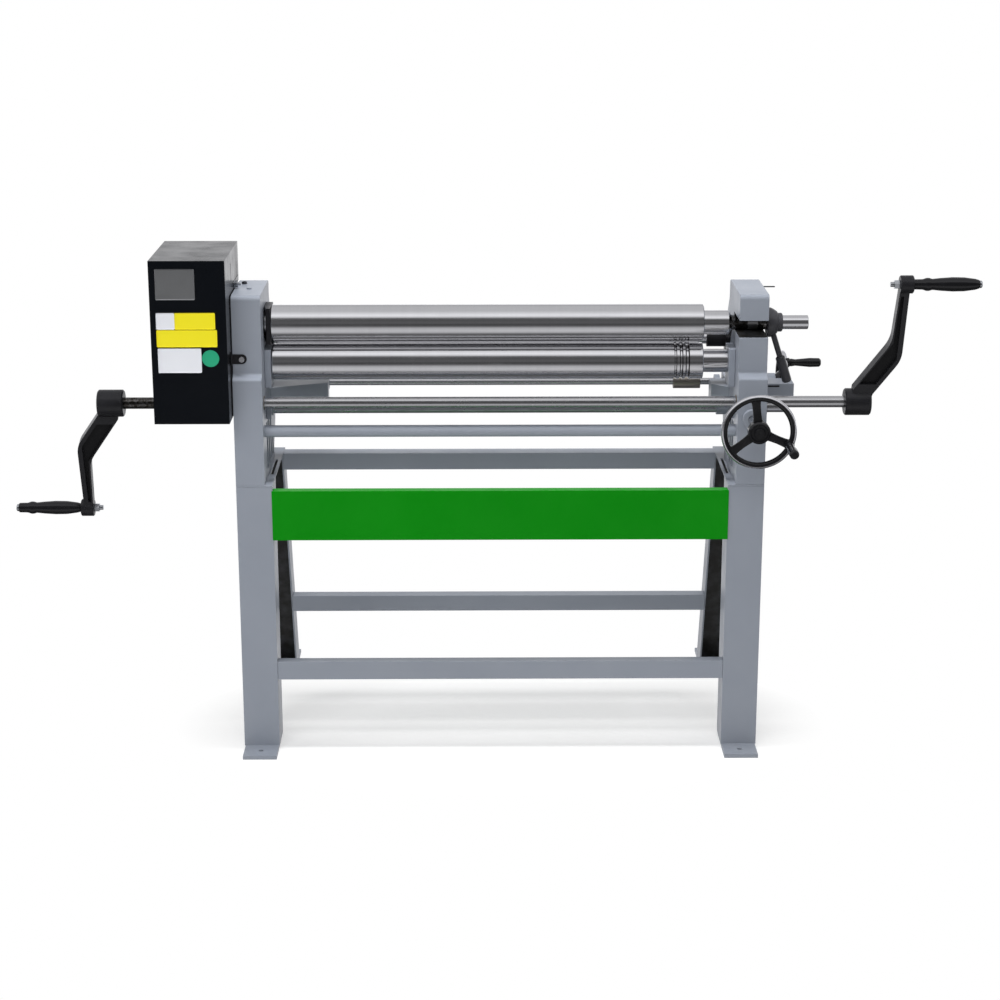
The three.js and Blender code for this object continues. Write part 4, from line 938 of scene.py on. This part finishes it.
class SLIPROLL_OT_cover(bpy.types.Operator):
    """Dresses the gear cover and its tab, and puts the blank plates on its front"""
    bl_idname = "sliproll.cover"
    bl_label = "Gear cover"

    def execute(self, context):
        dressed("gear_cover", COVER_EDGE)
        tab = dressed("cover_tab", SHEET_EDGE)
        mark_faces(tab, "bright", on_tab_screw)
        tab.data.materials[0] = MATERIALS["black_cast"]
        for name, material, x0, x1, z0, z1 in COVER_PLATES:
            blank_plate(name, material, x0, x1, z0, z1)
        blank_disc("blank_green_disc", "blank_green", *COVER_DISC)
        # A black strip along the housing: a seal, and the painted shade of the gap beside it
        seal = joined([bar(*SEAL_X, *stretch, SEAL_EDGE) for stretch in SEAL_STRETCHES])
        finish(seal, "cover_seal_and_gap_shade", "stand", "black_paint", "rubber")
        # A dark strip in the hooked slit: painted shade
        slit = joined([bar(*SLIT_X, *stretch, HAIR_EDGE) for stretch in SLIT_STRETCHES])
        finish(slit, "cover_slit_shade", "stand", "black_paint", "rubber")
        cover_stud()
        housing_bolt()
        housing_pin()
        return {"FINISHED"}


# The cover's right side, and the tab on it with its screw: front face, and where it bends
COVER_SIDE = -0.607
TAB_FRONT = -0.2213
TAB_BEND = -0.598
SCREW_RISE = 0.0002

# The black seal strip along the housing, which is also the painted shade of the gap there, and a dark strip
# painted as the shade in the hooked slit, each from left to right and then as stretches of (front, back,
# bottom, top)
SEAL_X = (-0.6068, -0.6052)
SEAL_EDGE = 0.0004
SEAL_STRETCHES = ((-0.2215, -0.2165, 1.02, 1.145), (-0.2415, -0.2365, 0.862, 1.02))
SLIT_X = (-0.6074, -0.6068)
SLIT_WIDTH = 0.002
SLIT_FOOT = 1.1695
SLIT_STRETCHES = ((-0.054, -0.052, SLIT_FOOT, 1.2065), (-0.125, -0.02, SLIT_FOOT - SLIT_WIDTH, SLIT_FOOT))

# Small pieces: the stud's and pin's axes as (y, z), and the middle of the bolt's foot
STUD_AXIS = (-0.117, 1.1615)
PIN_AXIS = (-0.061, 1.1428)
BOLT_FOOT = (-0.588, -0.056, 1.151)


def on_tab_screw(face):
    """Whether a face of the tab belongs to the screw that stands out of its front."""
    return face.center.y < TAB_FRONT - SCREW_RISE and face.center.x > TAB_BEND


def cover_stud():
    """The zinc stud, nut and washer on the cover's side, over the left housing, that its slit hooks on."""
    washer = turned([(0, 0), (0, 0.009), (0.0018, 0.009), (0.0018, 0)], 40)
    nut = turned([(0.0018, 0), (0.0018, 0.0068), (0.003, 0.0078), (0.009, 0.0078), (0.0102, 0.0068),
                  (0.0102, 0)], 6)
    stem = turned([(0.0102, 0), (0.0102, 0.003), (0.016, 0.003), (0.017, 0.002), (0.017, 0)], 32)
    for piece in (washer, nut, stem):
        moved(piece, place=(COVER_SIDE, *STUD_AXIS))
        soften(piece, FINE_EDGE, 2)
    return finish(joined([nut, washer, stem]), "cover_stud", "stand", "black_paint", "zinc")


def housing_pin():
    """The thin pin that stands out of the right housing's side."""
    pin = turned([(0.681, 0), (0.681, 0.0016), (0.713, 0.0016), (0.714, 0.0008), (0.714, 0)], 24)
    moved(pin, place=(0, *PIN_AXIS))
    soften(pin, PIN_EDGE, 2)
    return finish(pin, "housing_pin", "stand", "black_paint", "dark_steel")


def housing_bolt():
    """The dark socket screw on the left housing's top."""
    bolt = turned([(0, 0), (0, 0.0065), (0.005, 0.0065), (0.006, 0.0055), (0.006, 0.0032), (0.003, 0.003),
                   (0.003, 0)], 40)
    moved(bolt, -math.pi / 2, "Y")
    moved(bolt, place=BOLT_FOOT)
    soften(bolt, FINE_EDGE, 2)
    return finish(bolt, "housing_bolt", "stand", "black_paint", "dark_steel")


# Blank plates on the cover's front: name, material, left, right, bottom and top
COVER_PLATES = (
    ("blank_silver_plate", "blank_silver", -0.7709, -0.6782, 1.1579, 1.2313),
    ("blank_white_tag", "blank_white", -0.7719, -0.7285, 1.0878, 1.127),
    ("blank_yellow_tag", "blank_yellow", -0.7285, -0.633, 1.0878, 1.127),
    ("blank_yellow_strip", "blank_yellow", -0.772, -0.6295, 1.0456, 1.0864),
    ("blank_white_plate", "blank_white", -0.7705, -0.668, 0.9837, 1.0423),
)
TAG_THICKNESS = 0.0004
TAG_CORNER = 0.0025
TAG_EDGE = TAG_THICKNESS * 0.3

# The round tag: middle from left to right, middle in height, radius
COVER_DISC = (-0.6468, 1.0177, 0.0202)


def blank_plate(name, material, x0, x1, z0, z1):
    """A thin blank plate with rounded corners on the cover's front."""
    clear_selection()
    middle = ((x0 + x1) / 2, COVER_FRONT - TAG_THICKNESS / 2, (z0 + z1) / 2)
    bpy.ops.mesh.primitive_cube_add(size=1, location=middle)
    piece = bpy.context.object
    bpy.ops.transform.resize(value=(x1 - x0, TAG_THICKNESS, z1 - z0))
    bpy.ops.object.transform_apply(location=True, rotation=True, scale=True)
    bpy.ops.object.mode_set(mode="EDIT")
    bpy.ops.mesh.select_all(action="DESELECT")
    bpy.ops.object.mode_set(mode="OBJECT")
    for edge in piece.data.edges:
        a, b = (piece.data.vertices[i].co for i in edge.vertices)
        edge.select = abs(a.y - b.y) > TAG_THICKNESS / 2
    bpy.ops.object.mode_set(mode="EDIT")
    bpy.ops.mesh.select_mode(type="EDGE")
    bpy.ops.mesh.bevel(offset=TAG_CORNER, segments=5)
    bpy.ops.mesh.select_mode(type="VERT")
    bpy.ops.object.mode_set(mode="OBJECT")
    soften(piece, TAG_EDGE, 2)
    return finish(piece, name, "stand", "black_paint", material)


def blank_disc(name, material, x, z, radius):
    """A thin round tag on the cover's front."""
    piece = turned([(0, 0), (0, radius), (TAG_THICKNESS, radius), (TAG_THICKNESS, 0)], 64)
    moved(piece, -math.pi / 2, "Z")
    moved(piece, place=(x, COVER_FRONT, z))
    soften(piece, TAG_EDGE, 2)
    return finish(piece, name, "stand", "black_paint", material)


class SLIPROLL_OT_cranks(bpy.types.Operator):
    """Dresses the crank arms, their turning grips and bolts"""
    bl_idname = "sliproll.cranks"
    bl_label = "Cranks"

    def execute(self, context):
        for side, turn_arm, turn_grip in (("left", pocket_forward, end_for_end), ("right", None, None)):
            arm = dressed(f"{side}_crank_arm", ARM_EDGE, "black_cast", reshape=turn_arm)
            # The arm's pocket floor is darkened: painted shade
            mark_faces(arm, "pocket_shade", in_arm_pocket(side))
            spun(f"{side}_crank_grip", joint_place(f"{side}_grip")[1:], CRANK_GRIP_EDGE, "black_plastic",
                 bore=CRANK_GRIP_BORE, steps=64, angle=6.0, reshape=turn_grip)
            dressed(f"{side}_grip_bolt", GRIP_BOLT_EDGE)
        return {"FINISHED"}


# How far the floor of an arm's pocket lies forward of its middle plane, rounded up, and its least face
POCKET_FLOOR = 0.008
POCKET_FACE = 0.0001


def in_arm_pocket(side):
    """A test for the faces on the floor of a crank arm's pocket, which face forward behind its rims and are
    darkened as painted shade.
    """
    y, z = CRANK_AXIS
    _, grip_y, grip_z = joint_place(f"{side}_grip")
    along = Vector((0, grip_y - y, grip_z - z)).normalized()
    out = along.cross(Vector((1, 0, 0)))
    out = out if out.y < 0 else -out

    def test(face):
        depth = out.dot(face.center - Vector((0, y, z)))
        return face.normal.dot(out) > 0.9 and depth < POCKET_FLOOR and face.area > POCKET_FACE
    return test


def end_for_end(profile):
    """A profile turned round between its own ends."""
    ends = profile[0][0] + max(x for x, _ in profile)
    return [(ends - x, r) for x, r in reversed(profile)]


def pocket_forward(arm):
    """Mirrors the left arm through its middle plane: the two are like castings, set half a turn apart."""
    y, z = CRANK_AXIS
    _, grip_y, grip_z = joint_place("left_grip")
    lean = math.atan2(grip_y - y, z - grip_z)
    moved(arm, place=(0, -y, -z))
    moved(arm, -lean, "X")
    bpy.ops.transform.resize(value=(1, -1, 1), center_override=(0, 0, 0))
    bpy.ops.object.transform_apply(location=True, rotation=True, scale=True)
    bpy.ops.object.mode_set(mode="EDIT")
    bpy.ops.mesh.select_all(action="SELECT")
    bpy.ops.mesh.normals_make_consistent(inside=False)
    bpy.ops.object.mode_set(mode="OBJECT")
    moved(arm, lean, "X")
    moved(arm, place=(0, y, z))


class SLIPROLL_OT_controls(bpy.types.Operator):
    """Builds the two handwheels with their grips and dresses the release lever"""
    bl_idname = "sliproll.controls"
    bl_label = "Controls"

    def execute(self, context):
        handwheel("front_handwheel", FRONT_WHEEL, FRONT_RING, FRONT_GRIP_TURN, -math.pi / 2)
        handwheel("rear_handwheel", REAR_WHEEL, REAR_RING, REAR_GRIP_TURN, 0.0)
        x, _, z = joint_place("handwheel_grip")
        spun("front_handwheel_grip", (x, z), WHEEL_GRIP_EDGE, "black_plastic", along="Y",
             bore=WHEEL_GRIP_BORE, blind=FRONT_BORE_END, steps=48, angle=6.0, reshape=stouter)
        _, y, z = joint_place("rear_grip")
        spun("rear_handwheel_grip", (y, z), WHEEL_GRIP_EDGE, "black_plastic",
             bore=WHEEL_GRIP_BORE, blind=REAR_BORE_END, steps=48, angle=6.0, reshape=stouter)
        dressed("release_lever", LEVER_EDGE, "satin_grey")
        dressed("release_lever_grip", LEVER_EDGE, "satin_grey", reshape=fatten)
        return {"FINISHED"}


# The wheels' rings from axis to rim middle, the turns of their grips, and where the grips' bores end
FRONT_RING = 0.082
REAR_RING = 0.072
FRONT_GRIP_TURN = math.radians(337)
REAR_GRIP_TURN = math.radians(123)
FRONT_BORE_END = -0.433
REAR_BORE_END = 0.833

# How much thicker the grips are than their solids: the wheels' by a factor, the lever's in metres, and
# the radius past which a wheel grip's profile is its outside rather than its bore
WHEEL_GRIP_GROWTH = 1.12
LEVER_GRIP_GROWTH = 0.0012
WHEEL_GRIP_SKIN = 0.0045


def stouter(profile):
    """A wheel grip's profile, somewhat thicker outside its bore."""
    return [(x, r * WHEEL_GRIP_GROWTH if r > WHEEL_GRIP_SKIN else r) for x, r in profile]


def fatten(grip):
    """Grows the lever's grip evenly on all sides."""
    only(grip)
    bpy.ops.object.mode_set(mode="EDIT")
    bpy.ops.mesh.select_all(action="SELECT")
    bpy.ops.transform.shrink_fatten(value=LEVER_GRIP_GROWTH)
    bpy.ops.object.mode_set(mode="OBJECT")


# A handwheel, in metres along its axis and out from it; a cap at SHAFT_END closes its bore in front
RIM_RADIUS = 0.008
POLISHED_FROM = 0.2 * RIM_RADIUS
HUB_RADIUS = 0.027
HUB_BORE = 0.0102
HUB_BACK = 0.018
HUB_FRONT = 0.016
GRIP_INSET = 0.004
SHAFT_END = 0.0182
HUB_PROFILE = (
    (SHAFT_END, 0), (SHAFT_END, HUB_BORE), (-HUB_BACK, HUB_BORE), (-HUB_BACK, 0.019),
    (-0.009, HUB_RADIUS), (0.012, HUB_RADIUS), (HUB_FRONT, 0.023), (HUB_FRONT, 0.021),
    (0.013, 0.0195), (0.013, 0.0135), (HUB_FRONT, 0.0125), (0.0205, 0.0115), (0.0205, 0.0036),
    (0.0192, 0.003), (0.0192, 0),
)
GRIP_SEAT_PROFILE = (
    (-0.006, 0), (-0.006, 0.012), (0.012, 0.012), (0.012, 0.004), (0.06, 0.004), (0.06, 0),
)
SPOKES = 3
SPOKE_ROOT = 0.02
SPOKE_SINK = 0.002
SPOKE_HALF_WIDTH = 0.0095
SPOKE_HALF_THICKNESS = 0.0042
SPOKE_FLARE = 0.25


def handwheel(node, place, ring, grip_turn, turn):
    """Rim, hub, three spokes and the seat of the grip, built about the X axis and turned to its shaft."""
    clear_selection()
    bpy.ops.mesh.primitive_torus_add(major_radius=ring, minor_radius=RIM_RADIUS, major_segments=96,
                                     minor_segments=20, rotation=(0, math.pi / 2, 0))
    rim = bpy.context.object
    bpy.ops.object.transform_apply(location=True, rotation=True, scale=True)
    belt = ring + POLISHED_FROM
    mark_faces(rim, "bright", lambda face: math.hypot(face.center.y, face.center.z) > belt)
    hub = turned(HUB_PROFILE, 64)
    soften(hub, HUB_EDGE, 3, 20.0, 50.0)
    seat = turned(GRIP_SEAT_PROFILE, 40)
    soften(seat, BLOCK_EDGE)
    moved(seat, place=(0, ring - GRIP_INSET, 0))
    moved(seat, grip_turn, "X")
    spokes = []
    for step in range(SPOKES):
        arm = spoke(SPOKE_ROOT, ring - SPOKE_SINK, SPOKE_HALF_WIDTH, SPOKE_HALF_THICKNESS, SPOKE_FLARE)
        spokes.append(moved(arm, grip_turn + step * math.tau / SPOKES, "X"))
    piece = joined([rim, hub, seat, *spokes])
    only(piece)
    bpy.ops.object.shade_smooth_by_angle(angle=math.radians(50))
    if turn:
        moved(piece, turn, "Z")
    moved(piece, place=place)
    return finish(piece, "wheel_" + node, body_of_node(node), slot_of_node(node), "black_plastic", (node,))


class SLIPROLL_PT_panel(bpy.types.Panel):
    """Lists the pieces and their settings"""
    bl_label = "Slip Roll"
    bl_idname = "SLIPROLL_PT_panel"
    bl_space_type = "VIEW_3D"
    bl_region_type = "UI"
    bl_category = "Slip Roll"

    def draw(self, context):
        for settings in (context.scene.slip_roll_finishes, context.scene.slip_roll_stage):
            box = self.layout.box()
            for key in settings.__annotations__:
                box.prop(settings, key)
        for operator in OPERATORS:
            self.layout.operator(operator.bl_idname)


OPERATORS = (
    SLIPROLL_OT_stage,
    SLIPROLL_OT_rolls,
    SLIPROLL_OT_castings,
    SLIPROLL_OT_stand,
    SLIPROLL_OT_drive,
    SLIPROLL_OT_cover,
    SLIPROLL_OT_cranks,
    SLIPROLL_OT_controls,
)
CLASSES = (Finishes, StageSettings, *OPERATORS, SLIPROLL_PT_panel)


def register():
    for item in CLASSES:
        bpy.utils.register_class(item)
    bpy.types.Scene.slip_roll_finishes = bpy.props.PointerProperty(type=Finishes)
    bpy.types.Scene.slip_roll_stage = bpy.props.PointerProperty(type=StageSettings)


def unregister():
    del bpy.types.Scene.slip_roll_stage
    del bpy.types.Scene.slip_roll_finishes
    for item in reversed(CLASSES):
        bpy.utils.unregister_class(item)


def main():
    register()
    make_materials()
    bpy.ops.sliproll.stage()
    bpy.ops.sliproll.rolls()
    bpy.ops.sliproll.castings()
    bpy.ops.sliproll.stand()
    bpy.ops.sliproll.drive()
    bpy.ops.sliproll.cover()
    bpy.ops.sliproll.cranks()
    bpy.ops.sliproll.controls()


if __name__ == "__main__":
    main()
